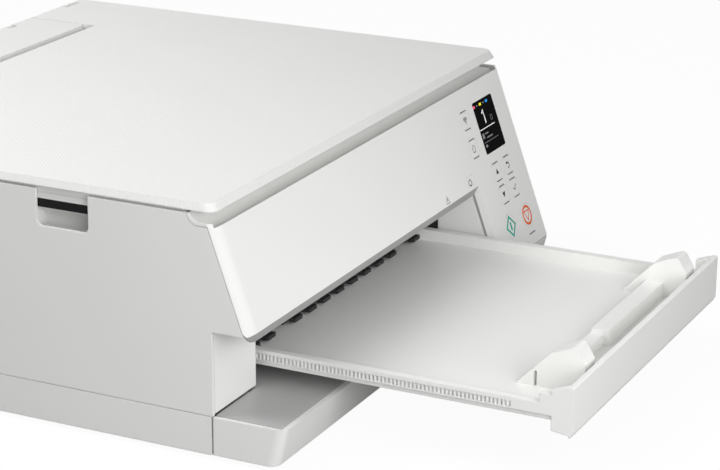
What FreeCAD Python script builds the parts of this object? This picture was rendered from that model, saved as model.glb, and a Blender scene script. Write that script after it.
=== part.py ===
import FreeCAD, Part
import math
import os

from FreeCAD import Vector

# Compact all-in-one inkjet printer. Millimetres, +X to the right, +Y to the back, +Z up.
# It is laid out from the front edge of the lid (y = 0) and from the floor (z = 0), and shifted
# along Y at the end so that the origin lies under the middle of the whole object.

# Outer body
width = 372.0
body_depth = 319.0
foot_height = 2.6
base_height = 22.4
base_setback = 1.2
side_height = 113.3
lid_gap = 1.7
lid_thickness = 4.5
wall = 2.2
floor = 2.2
seam = 0.3
corner_radius = 6.0
over = 1.0

# Step in the top edge of each side cover, behind the panel's rim
step_drop = 6.5
step_back = 14.0
step_front = 8.2
step_sag = 1.5

# Lid, its hinge and the cover over the rear paper tray
lid_side_bevel = 1.5
lid_front_bevel = 2.5
lid_back_radius = 1.0
lid_pocket_depth = 2.0
lid_rim = 9.0
lid_notch_depth = 53.0
rear_cover_slot = 5.0
rear_cover_margin = 28.0
rear_cover_play = 0.6
hinge_pin_radius = 1.0
running_fit = 0.05
lug_width = 8.0
lug_gap = 0.3
lug_notch_depth = 6.6
lid_lug_inset = 10.0
rear_lug_inset = 24.0
pin_bite = 7.0

# Operation panel
panel_tilt = 19.7
panel_top_forward = 3.4
panel_top_drop = 6.1
panel_thickness = 4.5
panel_skin = 2.4
panel_flange = 1.8
panel_height = 60.7
panel_corner = 8.0
panel_edge_reach = 8.0
panel_edge_round = 2.4
panel_lip = 4.4
panel_lip_slant = 3.3
rim_height = 2.0
rim_setback = 0.6
column_foot = 23.6
column_width = 77.5
column_chamfer = 3.0
cove_depth = 14.0
cove_sag = 2.2
bulkhead_depth = 9.5

# Display and keys: insets from the right side, and places down the slope from the panel's top edge
display_inset = 35.7
display_s = 29.5
display_width = 30.2
display_height = 34.4
display_radius = 1.5
display_depth = 1.6
board_margin = 9.0
board_thickness = 1.6
key_gap = 0.1
key_travel = 0.6
key_width = 13.0
key_height = 10.4
slim_key_height = 6.0
key_radius = 1.6
round_key_radius = 8.0
key_lift = 0.1
key_flange = 0.8
key_flange_thickness = 1.0
left_key_inset = 65.7
inner_key_inset = 44.0
outer_key_inset = 26.8
start_inset = 47.8
stop_inset = 21.2
power_inset = 84.1
wireless_s = 19.6
home_s = 38.3
upper_key_s = 59.6
lower_key_s = 75.0
round_key_s = 95.8
power_s = 55.0

# Recess and paper opening in the front
recess_width = 48.0
recess_top = 73.7
recess_foot = 26.2
inner_wall_back = 2.6
duct_depth = 34.0
duct_wall = 1.8
duct_ceiling = 69.6
duct_cheek_start = 25.0
duct_rail_gap = 3.0
guide_bar_front = 27.0
guide_bar_height = 2.1
comb_front = 14.0
comb_foot = 4.0
comb_lift = 2.0
comb_height = 4.0
comb_side_gap = 0.9
tooth_depth = 4.5
tooth_width = 9.0
tooth_height = 2.5
tooth_pitch = 18.0

# Finger notch in each side cover and the grip behind it
notch_front = 75.0
notch_length = 33.5
notch_height = 21.0
notch_radius = 4.0
grip_reach = 12.0
grip_radius = 9.0
grip_wall = 4.0
grip_rise = 5.0

# Paper path
paper_side_room = 10.25

# Paper cassette
cassette_reach = 43.8
cassette_rake = 5.6
cassette_lift = 0.3
cassette_clear = 0.4
cassette_wall = 2.0
cassette_side_room = 20.0
cassette_back_gap = 57.0
cassette_side_height = 17.0
cassette_rim = 2.2
cassette_face_wall = 3.2
cover_thickness = 1.8
cover_proud = 0.2
cover_play = 0.25
cover_radius = 2.0
cover_tuck = 70.0
rail_wall = 2.0
guide_start = 90.0
guide_length = 70.0
guide_height = 12.0
guide_wall = 2.0
guide_gap = 1.0
guide_foot = 12.0
guide_foot_inset = 10.0
guide_foot_thickness = 1.2
guide_lift = 0.1

# Output tray
tray_reach = 184.5
tray_left_gap = 6.5
tray_right_gap = 3.5
tray_front_height = 28.0
tray_bottom = 27.5
tray_wall = 3.0
tray_lip = 1.2
tray_edge_radius = 1.0
cheek_depth = 12.0
cheek_width = 5.0
cheek_drop = 3.2
tray_travel = 160.0
tray_tail = 30.0
rail_bottom = 35.5
rail_height = 9.2
rail_thickness = 5.0
tray_floor = 2.0
strip_depth = 1.2
strip_height = 2.6
rail_block_depth = 7.0
rail_block_rise = 5.3
left_stop_inset = 36.5
right_stop_inset = 22.0
stop_width = 14.0
stop_top = 63.3
stop_round = 2.6
stop_front_back = 7.5
stop_fall_depth = 6.0
stop_fall_drop = 9.2
stop_crest = 13.8
stop_crest_drop = 5.2
stop_ramp_depth = 22.0
slit_width = 1.6
slit_height = 8.6
slit_depth = 3.0
slit_back = 36.1
bar_left = 110.0
bar_front = 21.5
bar_depth = 11.0
bar_height = 9.0
shelf_height = 7.0

# Tray drive: rack along the left rail, pinion on an upright shaft
rack_module = 0.75
rack_depth = 2.1
rack_spare = 2
pinion_teeth = 16
pinion_y = 14.0
pinion_thickness = 2.9
slot_height = 3.3
slot_rise = 3.5
mesh_play = 0.15
drive_shaft_radius = 1.5
drive_shaft_foot = 2.0
drive_shaft_rise = 6.0
tray_case_gap = 1.0
tray_case_reach = 30.0
tray_case_nose = 5.0
tray_case_half = 9.0
tray_case_height = 4.0
tray_can_height = 16.0

# Gear teeth, in modules, and the play cut from them
addendum = 0.9
dedendum = 1.2
pressure_angle = 20.0
tooth_backlash = 0.16

# Scanner unit
scanner_front = 16.0
scanner_height = 27.0
scanner_side_gap = 0.6
scanner_wall = 2.4
glass_side_margin = 34.0
glass_front = 12.0
glass_back_margin = 13.5
glass_thickness = 2.8
glass_seat = 3.0
bezel_thickness = 3.6
bezel_drop = 0.6
bezel_radius = 1.5
arm_width = 20.0
arm_height = 14.0
arm_leg = 9.0
arm_leg_rise = 4.0
arm_gap = 2.0
scan_inset = 10.0
scan_bar_width = 22.0
scan_bar_height = 12.0
scan_bar_gap = 0.5
scan_bar_end = 2.0
scan_rod_radius = 3.0
scan_rod_lift = 1.0
scan_shoe_half = 9.0
scan_shoe_gap = 0.4

# Print engine
frame_left_gap = 28.8
frame_right_gap = 27.2
frame_sheet = 1.2
frame_front = 40.0
frame_back_gap = 87.0
frame_foot = 28.0
frame_foot_length = 12.0
frame_foot_inset = 6.0
frame_top_gap = 3.0
ledge_depth = 4.0
ledge_thickness = 2.0
ledge_back_gap = 30.0
roller_z = 58.0
roller_radius = 6.0
roller_end_gap = 1.0
shaft_end = 1.0
eject_y = 52.0
feed_y = 150.0
journal_radius = 3.0
gear_module = 1.0
roller_teeth = 32
motor_teeth = 12
gear_thickness = 4.0
gear_gap = 0.8
idler_windows = 5
window_inner = 8.0
window_outer = 26.0
window_rib = 5.0
motor_mesh_play = 0.3
motor_radius = 12.0
motor_length = 11.0
motor_lug_margin = 3.0
motor_shaft_bite = 7.0
platen_front = 60.0
platen_back = 142.0
platen_thickness = 3.0
platen_drop = 0.6
platen_side = 6.0
platen_apron = 14.0
platen_rib_count = 13
platen_rib_width = 1.6
platen_rib_height = 0.5
platen_rib_inset = 4.0
ear_front = 20.0
ear_back = 32.0
star_count = 9
star_points = 12
star_radius = 4.2
star_bite = 1.2
star_gap = 0.4
star_thickness = 1.2
star_shaft_radius = 1.0
star_inset = 6.0

# Print carriage, its rail and its belt
rail_y = 143.0
rail_depth = 15.0
rail_fold_height = 25.0
carriage_width = 60.0
carriage_depth = 62.0
carriage_low = 66.5
carriage_top_gap = 4.0
carriage_park = 3.0
carriage_wall = 1.8
carriage_spine = 6.0
carriage_slide_gap = 0.4
carriage_shell_drop = 10.0
head_height = 3.0
head_side = 12.0
head_front = 10.0
head_back = 18.0
hook_side = 10.0
hook_rise = 2.4
hook_root = 12.0
hook_drop = 6.0
hook_wall = 3.0
tank_count = 5
tank_gap = 0.6
tank_latch_front = 9.0
tank_latch_back = 14.0
tank_latch_rise = 4.0
tank_drop = 6.0
belt_end_gap = 14.0
belt_drop = 10.0
belt_gap = 6.0
belt_thickness = 1.0
belt_width = 5.0
belt_seat = 0.05
pulley_radius = 6.0
pulley_flange = 1.6
pulley_flange_thickness = 1.0
pulley_end = 0.4
pulley_shaft_radius = 2.0
pulley_shaft_length = 9.0
bearing_gap = 3.0
bearing_half_height = 9.0
bracket_depth = 9.0
bracket_tie_depth = 6.0
bracket_tie_half = 8.0
carriage_motor_length = 28.0

# Head cleaning station and waste felt
purge_gap = 2.0
purge_inset = 10.0
purge_play = 0.5
purge_height = 22.0
cap_height = 4.0
cap_radius = 3.0
felt_front = 20.0
felt_length = 160.0
felt_height = 14.0
felt_radius = 4.0
felt_gap = 2.0

# Rear paper tray
chute_top_back = 13.0
chute_top_drop = 6.0
chute_low_back = 105.0
chute_low_rise = 8.0
chute_thickness = 2.5
chute_side = 6.0
chute_tie = 16.0
rear_guide_start = 72.0
rear_guide_length = 30.0
rear_guide_height = 6.0
rear_guide_nose = 8.0

# Back of the body
duplex_margin = 4.0
duplex_bottom = 32.0
duplex_height = 62.0
duplex_depth = 46.0
duplex_play = 0.6
duplex_hollow_radius = 26.0
duplex_end_wall = 4.0
duplex_grip_half = 30.0
duplex_grip_height = 16.0
duplex_grip_depth = 9.0
duplex_grip_drop = 6.0
duplex_grip_radius = 4.0
socket_inset = 36.0
socket_wall = 1.6
socket_setback = 0.4
inlet_z = 46.0
inlet_width = 21.0
inlet_height = 15.0
inlet_depth = 22.0
inlet_pin_radius = 1.2
inlet_pin_spread = 4.3
inlet_pin_setback = 7.0
usb_z = 44.0
usb_size = 12.5
usb_depth = 17.6
usb_tongue_width = 5.6
usb_tongue_height = 3.2
usb_tongue_setback = 3.0

# Electronics and feet
supply_length = 105.0
supply_height = 57.2
supply_gap = 1.0
main_board_gap = 12.0
main_board_length = 117.0
main_board_back = 6.0
main_board_low = 34.0
main_board_high = 104.0
main_board_foot_back = 87.0
main_board_foot = 16.0
main_board_tie = 8.0
main_board_tie_back = 12.0
foot_radius = 9.0
foot_inset = 28.0

# Sizes that follow: outer body
half = width / 2
base_top = foot_height + base_height
base_floor = foot_height + floor
side_top = base_top + side_height
lid_bottom = side_top + lid_gap
lid_top = lid_bottom + lid_thickness
hinge_radius = lid_thickness / 2
hinge_y = body_depth - hinge_radius
hinge_z = lid_bottom + hinge_radius
lug_span = 2 * lug_width + lug_gap
panel_top_z = side_top - panel_top_drop
tilt = math.radians(panel_tilt)
slope_y = -math.sin(tilt)
slope_z = -math.cos(tilt)
column_left = half - column_width
column_height = (panel_top_z - column_foot) / math.cos(tilt)
step_level = side_top - step_drop
opening_left = -half + recess_width
lid_notch_front = body_depth - lid_notch_depth
display_x = half - display_inset
inlet_x = half - socket_inset
usb_x = -half + socket_inset

# Sizes that follow: trays and paper
tray_left = opening_left + tray_left_gap
tray_right = column_left - tray_right_gap
paper_x = (tray_left + tray_right) / 2
paper_width = tray_right - tray_left - 2 * paper_side_room
paper_half = paper_width / 2
rear_cover_half = paper_half + rear_cover_margin
notch_left = paper_x - rear_cover_half
notch_right = paper_x + rear_cover_half
cassette_half = paper_half + cassette_side_room
cassette_length = body_depth - cassette_back_gap
cassette_floor = base_floor + cassette_clear
cover_low = base_top + cover_proud - cover_thickness
rail_top = rail_bottom + rail_height
tray_deck = rail_bottom + tray_floor
tray_inner = -tray_reach + cheek_depth
rack_pitch = math.pi * rack_module
pinion_radius = rack_module * pinion_teeth / 2
pinion_x = tray_left + rack_module - mesh_play - pinion_radius
slot_bottom = rail_bottom + slot_rise

# Sizes that follow: scanner unit and print engine
scanner_half = half - wall - scanner_side_gap
scanner_back = lid_notch_front - rear_cover_slot / 2
scanner_bottom = lid_bottom - scanner_height
bezel_top = lid_bottom - bezel_drop
tub_top = bezel_top - bezel_thickness
glass_half = half - glass_side_margin
glass_near = scanner_front + glass_front
glass_far = scanner_back - glass_back_margin
scan_rod_y = (glass_near + glass_far) / 2
scan_rod_z = scanner_bottom + scanner_wall + scan_rod_radius + scan_rod_lift
frame_left = -half + frame_left_gap
frame_right = half - frame_right_gap
frame_inner = frame_left + frame_sheet
frame_back = body_depth - frame_back_gap
frame_top = scanner_bottom - frame_top_gap
idler_teeth = int(round((feed_y - eject_y) / gear_module)) - roller_teeth
idler_y = (feed_y + eject_y) / 2
gear_x = frame_left - gear_gap - gear_thickness
motor_z = roller_z - gear_module * (idler_teeth + motor_teeth) / 2 - motor_mesh_play
platen_top = roller_z + roller_radius - platen_drop
star_z = roller_z + roller_radius + star_gap + star_radius
carriage_high = scanner_bottom - carriage_top_gap
carriage_right = frame_right - carriage_park
carriage_left = carriage_right - carriage_width
carriage_back = rail_y - carriage_slide_gap
carriage_front = rail_y - over - carriage_depth
belt_z = carriage_high - belt_drop
belt_y = rail_y + rail_depth + belt_gap
belt_left = frame_left + belt_end_gap
belt_right = frame_right - belt_end_gap
bearing_y = belt_y + belt_width + bearing_gap
chute_top_y = body_depth - chute_top_back
chute_top_z = lid_bottom - chute_top_drop
chute_low_y = body_depth - chute_low_back
chute_low_z = roller_z + chute_low_rise
chute_rise = math.atan2(chute_top_z - chute_low_z, chute_top_y - chute_low_y)
duplex_half = paper_half + duplex_margin
frame_y = (tray_reach - body_depth) / 2

AXES = {"x": Vector(1, 0, 0), "y": Vector(0, 1, 0), "z": Vector(0, 0, 1)}


def box(x0, x1, y0, y1, z0, z1):
    """Block between two corners."""
    return Part.makeBox(x1 - x0, y1 - y0, z1 - z0, Vector(x0, y0, z0))


def span(a, b):
    """Two places in rising order."""
    return min(a, b), max(a, b)


def rod(radius, start, along, length):
    """Round bar from a point along a direction."""
    return Part.makeCylinder(radius, length, Vector(*start), Vector(*along))


def on_plane(normal, level, point):
    """Point of an outline drawn across one axis, at a level along that axis."""
    a, b = point
    return {"x": Vector(level, a, b), "y": Vector(a, level, b), "z": Vector(a, b, level)}[normal]


def bow(start, end, sag):
    """Arc to a point: its end, with the middle that lies sag to the right of the chord."""
    run, rise = end[0] - start[0], end[1] - start[1]
    length = math.hypot(run, rise)
    middle = ((start[0] + end[0]) / 2 + sag * rise / length, (start[1] + end[1]) / 2 - sag * run / length)
    return end[0], end[1], middle


def prism(points, normal, low, high):
    """Closed outline swept along one axis; a point with a third item is an arc's end with its middle."""
    spots = [on_plane(normal, low, p[:2]) for p in points]
    edges = []
    for i, here in enumerate(spots):
        after = (i + 1) % len(points)
        bend = points[after][2:]
        if bend:
            edges.append(Part.Arc(here, on_plane(normal, low, bend[0]), spots[after]).toShape())
        else:
            edges.append(Part.LineSegment(here, spots[after]).toShape())
    return Part.Face(Part.Wire(edges)).extrude(AXES[normal] * (high - low))


def along(shape, axis, test=None):
    """Edges that run along one axis, and pass a test on their middle."""
    found = []
    for edge in shape.Edges:
        if len(edge.Vertexes) != 2:
            continue
        run = edge.Vertexes[1].Point - edge.Vertexes[0].Point
        straight = abs(abs(run.dot(AXES[axis])) - edge.Length) < 1e-6
        if straight and (test is None or test(edge.CenterOfMass)):
            found.append(edge)
    return found


def slab(x0, x1, y0, y1, z0, z1, radius, axis="z"):
    """Block whose edges along one axis are rounded."""
    block = box(x0, x1, y0, y1, z0, z1)
    return block.makeFillet(radius, along(block, axis))


def fuse(*shapes):
    """One solid from touching pieces."""
    return shapes[0].multiFuse(list(shapes[1:])).removeSplitter()


def on_panel(shape):
    """Moves a shape drawn as (x, down the slope, depth inwards) onto the operation panel."""
    placed = shape.copy()
    placed.rotate(Vector(), AXES["x"], -(90 + panel_tilt))
    placed.translate(Vector(0, -panel_top_forward, panel_top_z))
    return placed


def slope_point(s, depth=0.0):
    """Place in the YZ plane of a point down the panel's slope and behind its face."""
    y = -panel_top_forward + s * slope_y - depth * slope_z
    z = panel_top_z + s * slope_z + depth * slope_y
    return y, z


def slope_y_at(z, depth=0.0):
    """How far back the panel's face, or a plane behind it, is at a height."""
    y, top = slope_point(0.0, depth)
    return y + (z - top) * math.tan(tilt)


def gear(module, teeth, thickness):
    """Spur gear about +Z, with a tooth centred on +X and its teeth thinned for backlash."""
    pitch = module * teeth / 2
    lean = math.tan(math.radians(pressure_angle))
    root = (pitch - dedendum * module, dedendum * module * lean)
    tip = (pitch + addendum * module, -addendum * module * lean)
    half_tooth = (math.pi * module / 2 - tooth_backlash) / 2
    points = []
    for tooth in range(teeth):
        middle = 2 * math.pi * tooth / teeth
        for turn, order in ((-1, (root, tip)), (1, (tip, root))):
            for radius, spread in order:
                angle = middle + turn * (half_tooth + spread) / radius
                points.append((radius * math.cos(angle), radius * math.sin(angle)))
    return prism(points, "z", 0, thickness)


def gear_x_axis(shape, x, y, z, turn=0.0):
    """Lays a gear so that its axis runs along +X, first turned about that axis."""
    placed = shape.copy()
    placed.rotate(Vector(), AXES["z"], turn)
    placed.rotate(Vector(), AXES["y"], 90)
    placed.translate(Vector(x, y, z))
    return placed


def hinge_knuckle(x0, x1, bore, foot):
    """Rounded hinge lug about the rear axis, with a leg down to the piece that carries it."""
    eye = rod(hinge_radius, (x0, hinge_y, hinge_z), (1, 0, 0), x1 - x0)
    lug = eye.fuse(prism(foot, "x", x0, x1)).removeSplitter()
    return lug.cut(rod(bore, (x0 - over, hinge_y, hinge_z), (1, 0, 0), x1 - x0 + 2 * over))


def lid_lug_starts():
    """Where the pair of lugs begins on the right and on the left of the lid."""
    return half - lid_lug_inset - lug_span, -half + lid_lug_inset


def rear_lug_starts():
    """Where the body lug begins on each side of the rear tray cover."""
    return notch_left + rear_lug_inset, notch_right - rear_lug_inset - lug_width


def base():
    """Bottom housing: an open tray with rails that guide the cassette."""
    shell = box(-half, half, base_setback, body_depth, foot_height, base_top)
    shell = shell.makeFillet(corner_radius, along(shell, "z", lambda c: c.y > body_depth / 2))
    shell = shell.cut(box(-half + wall, half - wall, base_setback - over, body_depth - wall,
                          base_floor, base_top + over))
    rails = []
    for side in (-1, 1):
        inner = paper_x + side * (cassette_half + cassette_clear)
        low, high = span(inner, inner + side * rail_wall)
        rails.append(box(low, high, base_setback, cassette_length + cassette_clear,
                         base_floor, base_top - cover_thickness))
    return fuse(shell, *rails)


def feet():
    """Four rubber pads under the base."""
    pads = []
    for x in (-half + foot_inset, half - foot_inset):
        for y in (foot_inset, body_depth - foot_inset):
            pads.append(rod(foot_radius, (x, y, 0), (0, 0, 1), foot_height))
    return Part.makeCompound(pads)


def step_outline(offset):
    """Curved step in a side's top edge, from back to front, moved up and forwards by an offset."""
    top = (step_back - offset, side_top)
    low = (step_front - offset, step_level + offset)
    front = (slope_y_at(low[1], panel_thickness + seam - offset), low[1])
    return [top, bow(top, low, -step_sag), front]


def side_outline(left):
    """Edge of a side cover in the YZ plane; the left one stops at the recess."""
    foot = base_top + seam
    edge = panel_thickness + seam
    outline = [(body_depth, foot), (body_depth, side_top), *step_outline(0.0)]
    if left:
        return outline + [(slope_y_at(recess_top, edge), recess_top), (0.0, recess_top), (0.0, foot)]
    return outline + [(slope_y_at(foot, edge), foot)]


def side_cover(side):
    """Outer side moulding with a finger notch in its top edge."""
    low, high = span(side * (half - wall), side * half)
    plate = prism(side_outline(side < 0), "x", low, high)
    notch = box(low - over, high + over, notch_front, notch_front + notch_length,
                side_top - notch_height, side_top + 2 * notch_radius)
    lower_edges = along(notch, "x", lambda c: c.z < side_top)
    return plate.cut(notch.makeFillet(notch_radius, lower_edges))


def rear_cover():
    """Back panel with openings for the duplex cover and sockets, and the body's hinge lugs."""
    inner = half - wall - seam
    front = body_depth - wall
    plate = box(-inner, inner, front, body_depth, base_top + seam, side_top)
    plate = plate.cut(box(paper_x - duplex_half, paper_x + duplex_half, front - over, body_depth + over,
                          duplex_bottom, duplex_bottom + duplex_height))
    plate = plate.cut(socket_void(inlet_x, inlet_z, inlet_width, inlet_height))
    plate = plate.cut(socket_void(usb_x, usb_z, usb_size, usb_size))
    leg_foot = side_top - wall
    leg = [(hinge_y - hinge_radius, hinge_z), (hinge_y - hinge_radius, leg_foot), (body_depth, leg_foot),
           (body_depth, hinge_z)]
    starts = [x if x > 0 else x + lug_width + lug_gap for x in lid_lug_starts()]
    lugs = [hinge_knuckle(x, x + lug_width, hinge_pin_radius, leg) for x in (*starts, *rear_lug_starts())]
    return fuse(plate, *lugs)


def hinge_pins():
    """Steel pins: one through each lug pair of the lid and one through each lug of the rear cover."""
    pins = []
    groups = [(x, lug_span) for x in lid_lug_starts()] + [(x, lug_width) for x in rear_lug_starts()]
    for x, across in groups:
        pins.append(rod(hinge_pin_radius, (x - pin_bite, hinge_y, hinge_z), (1, 0, 0), across + 2 * pin_bite))
    return Part.makeCompound(pins)


def rounded_rectangle(x0, x1, y0, y1, z, front_radius, back_radius):
    """Closed wire of a rectangle whose front and back corners have their own radii."""
    block = box(x0, x1, y0, y1, z, z + over)
    middle = (y0 + y1) / 2
    block = block.makeFillet(front_radius, along(block, "z", lambda c: c.y < middle))
    block = block.makeFillet(back_radius, along(block, "z", lambda c: c.y > middle))
    lowest = min(block.Faces, key=lambda face: face.CenterOfMass.z)
    return lowest.OuterWire


def hinged_plate(x0, x1, front_low, front_high, bevel):
    """Cover plate: bevelled at its front and sides, rounded about the hinge axis at its back."""
    lower = rounded_rectangle(x0, x1, front_low, body_depth, lid_bottom, corner_radius, lid_back_radius)
    upper = rounded_rectangle(x0 + bevel, x1 - bevel, front_high, body_depth, lid_top,
                              corner_radius, lid_back_radius)
    plate = Part.makeLoft([lower, upper], True, True)
    keep = box(x0 - over, x1 + over, front_low - over, hinge_y, lid_bottom - over, lid_top + over)
    keep = keep.fuse(rod(hinge_radius, (x0 - over, hinge_y, hinge_z), (1, 0, 0), x1 - x0 + 2 * over))
    return plate.common(keep)


def lug_pocket(x, across):
    """Space that a group of hinge lugs needs in a cover's back edge."""
    return box(x - lug_gap, x + across + lug_gap, body_depth - lug_notch_depth, body_depth + over,
               lid_bottom - over, lid_top + over)


def pin_bore(x, across):
    """Running bore for a hinge pin on both sides of a lug group."""
    reach = pin_bite + over
    return rod(hinge_pin_radius + running_fit, (x - reach, hinge_y, hinge_z), (1, 0, 0), across + 2 * reach)


def document_cover():
    """Lid over the glass, with a notch for the rear tray cover and a pocket for its pad."""
    plate = hinged_plate(-half, half, -lid_front_bevel, 0.0, lid_side_bevel)
    plate = plate.cut(box(notch_left, notch_right, lid_notch_front, body_depth + over,
                          lid_bottom - over, lid_top + over))
    for x in lid_lug_starts():
        plate = plate.cut(lug_pocket(x, lug_span)).cut(pin_bore(x, lug_span))
    pocket = slab(-half + lid_rim, half - lid_rim, lid_rim, lid_notch_front - lid_rim,
                  lid_bottom - over, lid_bottom + lid_pocket_depth, corner_radius)
    return plate.cut(pocket)


def document_pad():
    """White foam sheet that presses the page onto the glass."""
    inset = lid_rim + seam
    return slab(-half + inset, half - inset, inset, lid_notch_front - inset,
                lid_bottom - seam, lid_bottom + lid_pocket_depth, corner_radius)


def rear_tray_cover():
    """Flap over the rear paper tray, with a bevelled front edge."""
    front = lid_notch_front + rear_cover_slot
    plate = hinged_plate(notch_left + rear_cover_play, notch_right - rear_cover_play,
                         front, front + lid_front_bevel, seam)
    for x in rear_lug_starts():
        plate = plate.cut(lug_pocket(x, lug_width)).cut(pin_bore(x, lug_width))
    return plate


def panel_outline():
    """Front face of the operation panel, as (x, down the slope)."""
    turn = panel_corner * (1 - math.sqrt(0.5))
    return [(-half, 0.0), (-half, panel_height - panel_corner),
            (-half + panel_corner, panel_height, (-half + turn, panel_height - turn)),
            (column_left, panel_height), (column_left, column_height), (half, column_height), (half, 0.0)]


def panel_section():
    """Cross-section of the panel as (x, depth): a wide round on the left, a tighter one on the right."""
    reach, deep = panel_edge_reach, panel_thickness
    radius = (reach ** 2 + deep ** 2) / (2 * deep)
    sweep = math.asin(reach / radius) / 2
    left_middle = (-half + reach - radius * math.sin(sweep), radius * (1 - math.cos(sweep)))
    turn = panel_edge_round * (1 - math.sqrt(0.5))
    return [(-half, body_depth), (-half, deep), (-half + reach, 0.0, left_middle),
            (half - panel_edge_round, 0.0),
            (half, panel_edge_round, (half - turn, turn)), (half, body_depth)]


def panel_lower_lip():
    """Set-back lip under the panel's lower edge, which wraps the left corner."""
    start = panel_height - 2 * panel_corner
    right = column_left + 2 * panel_corner
    face = rounded_rectangle(-half, right, start, panel_height, 0.0, over, panel_corner)
    foot = panel_height + panel_lip
    ledge = rounded_rectangle(-half, right, start, foot, panel_lip_slant, over, panel_corner)
    slant = Part.makeLoft([face, ledge], True, True)
    flat = Part.Face(ledge).extrude(Vector(0, 0, panel_thickness - panel_lip_slant))
    return fuse(slant, flat)


def panel_rim(side):
    """Rim that runs back from the panel over a side cover's step and curls up under the lid."""
    top = step_level + rim_height
    front = slope_point(0.0, rim_setback)
    crest_start = (step_front - rim_height, top)
    crest_end = (step_back - rim_height / 2, side_top)
    lower = step_outline(seam)
    outline = [slope_point(0.0, panel_thickness), front, (front[0] + rim_height / 2, top), crest_start,
               bow(crest_start, crest_end, step_sag), *lower]
    return prism(outline, "x", *span(side * (half - wall), side * half))


def key_places():
    """Each key's name, place on the panel, and its size, or only a radius if it is round."""
    plain, slim, disc = (key_width, key_height), (key_width, slim_key_height), (round_key_radius,)
    return (("wireless_key", half - left_key_inset, wireless_s, plain),
            ("home_key", half - left_key_inset, home_s, plain),
            ("up_key", half - inner_key_inset, upper_key_s, plain),
            ("down_key", half - inner_key_inset, lower_key_s, plain),
            ("back_key", half - outer_key_inset, upper_key_s, plain),
            ("ok_key", half - outer_key_inset, lower_key_s, plain),
            ("start_key", half - start_inset, round_key_s, disc),
            ("stop_key", half - stop_inset, round_key_s, disc),
            ("power_key", half - power_inset, power_s, slim))


def key_prism(x, s, size, grow, top, bottom):
    """Column with a key's outline, between two depths behind the panel's face."""
    if len(size) == 1:
        return rod(size[0] + grow, (x, s, top), (0, 0, 1), bottom - top)
    across, high = size[0] / 2 + grow, size[1] / 2 + grow
    return slab(x - across, x + across, s - high, s + high, top, bottom, key_radius + grow)


def display_prism(inset, top, bottom):
    """Column with the display's outline, drawn in from its edge, between two depths."""
    across, high = display_width / 2 - inset, display_height / 2 - inset
    return slab(display_x - across, display_x + across, display_s - high, display_s + high,
                top, bottom, display_radius)


def operation_panel():
    """Sloping front moulding: a skin with a turned-in edge, a lower lip, side rims and key openings."""
    block = prism(panel_outline(), "z", 0, panel_thickness)
    inner_edge = along(block, "y", lambda c: abs(c.x - column_left) < seam and c.z < seam)
    block = block.makeChamfer(column_chamfer, inner_edge)
    edge, back = panel_flange, panel_thickness + over
    upper = box(-half + panel_edge_reach, half - edge, edge, panel_height - edge, panel_skin, back)
    lower = box(column_left + edge + column_chamfer, half - edge, panel_height - edge - over,
                column_height - edge, panel_skin, back)
    block = fuse(block.cut(upper).cut(lower), panel_lower_lip())
    for _, x, s, size in key_places():
        block = block.cut(key_prism(x, s, size, key_gap, -over, back))
        block = block.cut(key_prism(x, s, size, key_flange + key_gap, panel_skin, back))
    block = block.cut(display_prism(0.0, -over, back))
    block = fuse(on_panel(block), panel_rim(-1), panel_rim(1))
    reach = step_back + column_height
    rounded = on_panel(prism(panel_section(), "y", -reach, reach))
    below = box(-half - over, half + over, -body_depth, body_depth, 0.0, column_foot)
    return block.common(rounded).cut(below)


def key(x, s, size):
    """Key cap flush with the panel, with a wider flange behind the skin that keeps it in its hole."""
    seat = panel_skin + key_lift
    cap = key_prism(x, s, size, 0.0, 0.0, seat)
    flange = key_prism(x, s, size, key_flange, seat, seat + key_flange_thickness)
    return on_panel(fuse(cap, flange))


def display_window():
    """Clear window over the display, seated in the panel."""
    return on_panel(display_prism(0.0, 0.0, display_depth))


def control_board():
    """Circuit board behind the panel, with the display module on it."""
    top = panel_thickness + key_travel + seam
    bottom = top + board_thickness
    low = panel_height - board_margin / 2
    right = half - board_margin
    board = box(right - power_inset, right, board_margin, low, top, bottom)
    tail = box(column_left + board_margin, right, low, column_height - board_margin, top, bottom)
    module = display_prism(key_flange, display_depth, top)
    return on_panel(fuse(board, tail, module))


def front_frame():
    """Moulding behind the panel: finger cove under the lid, bulkhead, and the recess beside the opening."""
    inner = half - wall - seam
    depth = panel_thickness + seam
    start = slope_point(0.0, depth)
    foot = start[1] - 2 * wall
    cove_end = (cove_depth, side_top)
    cove = prism([(start[0], foot), start, bow(start, cove_end, cove_sag), (cove_depth, foot)],
                 "x", -inner, inner)
    high = foot + wall
    near, far = bulkhead_depth, bulkhead_depth + wall
    bulkhead = prism([(slope_y_at(recess_top, near), recess_top), (slope_y_at(high, near), high),
                      (slope_y_at(high, far), high), (slope_y_at(recess_top, far), recess_top)],
                     "x", -inner, inner)
    back_wall = box(-inner, opening_left, 0.0, wall, recess_foot, recess_top)
    roof = recess_top + wall
    ceiling = prism([(slope_y_at(recess_top, depth), recess_top), (slope_y_at(roof, depth), roof),
                     (inner_wall_back, roof), (inner_wall_back, recess_top)], "x", -inner, column_left + wall)
    low = recess_foot - wall
    side = prism([(slope_y_at(low, depth), low), (slope_y_at(recess_top, depth), recess_top),
                  (inner_wall_back, recess_top), (inner_wall_back, low)],
                 "x", column_left, column_left + wall)
    return fuse(cove, bulkhead, back_wall, ceiling, side)


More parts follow.
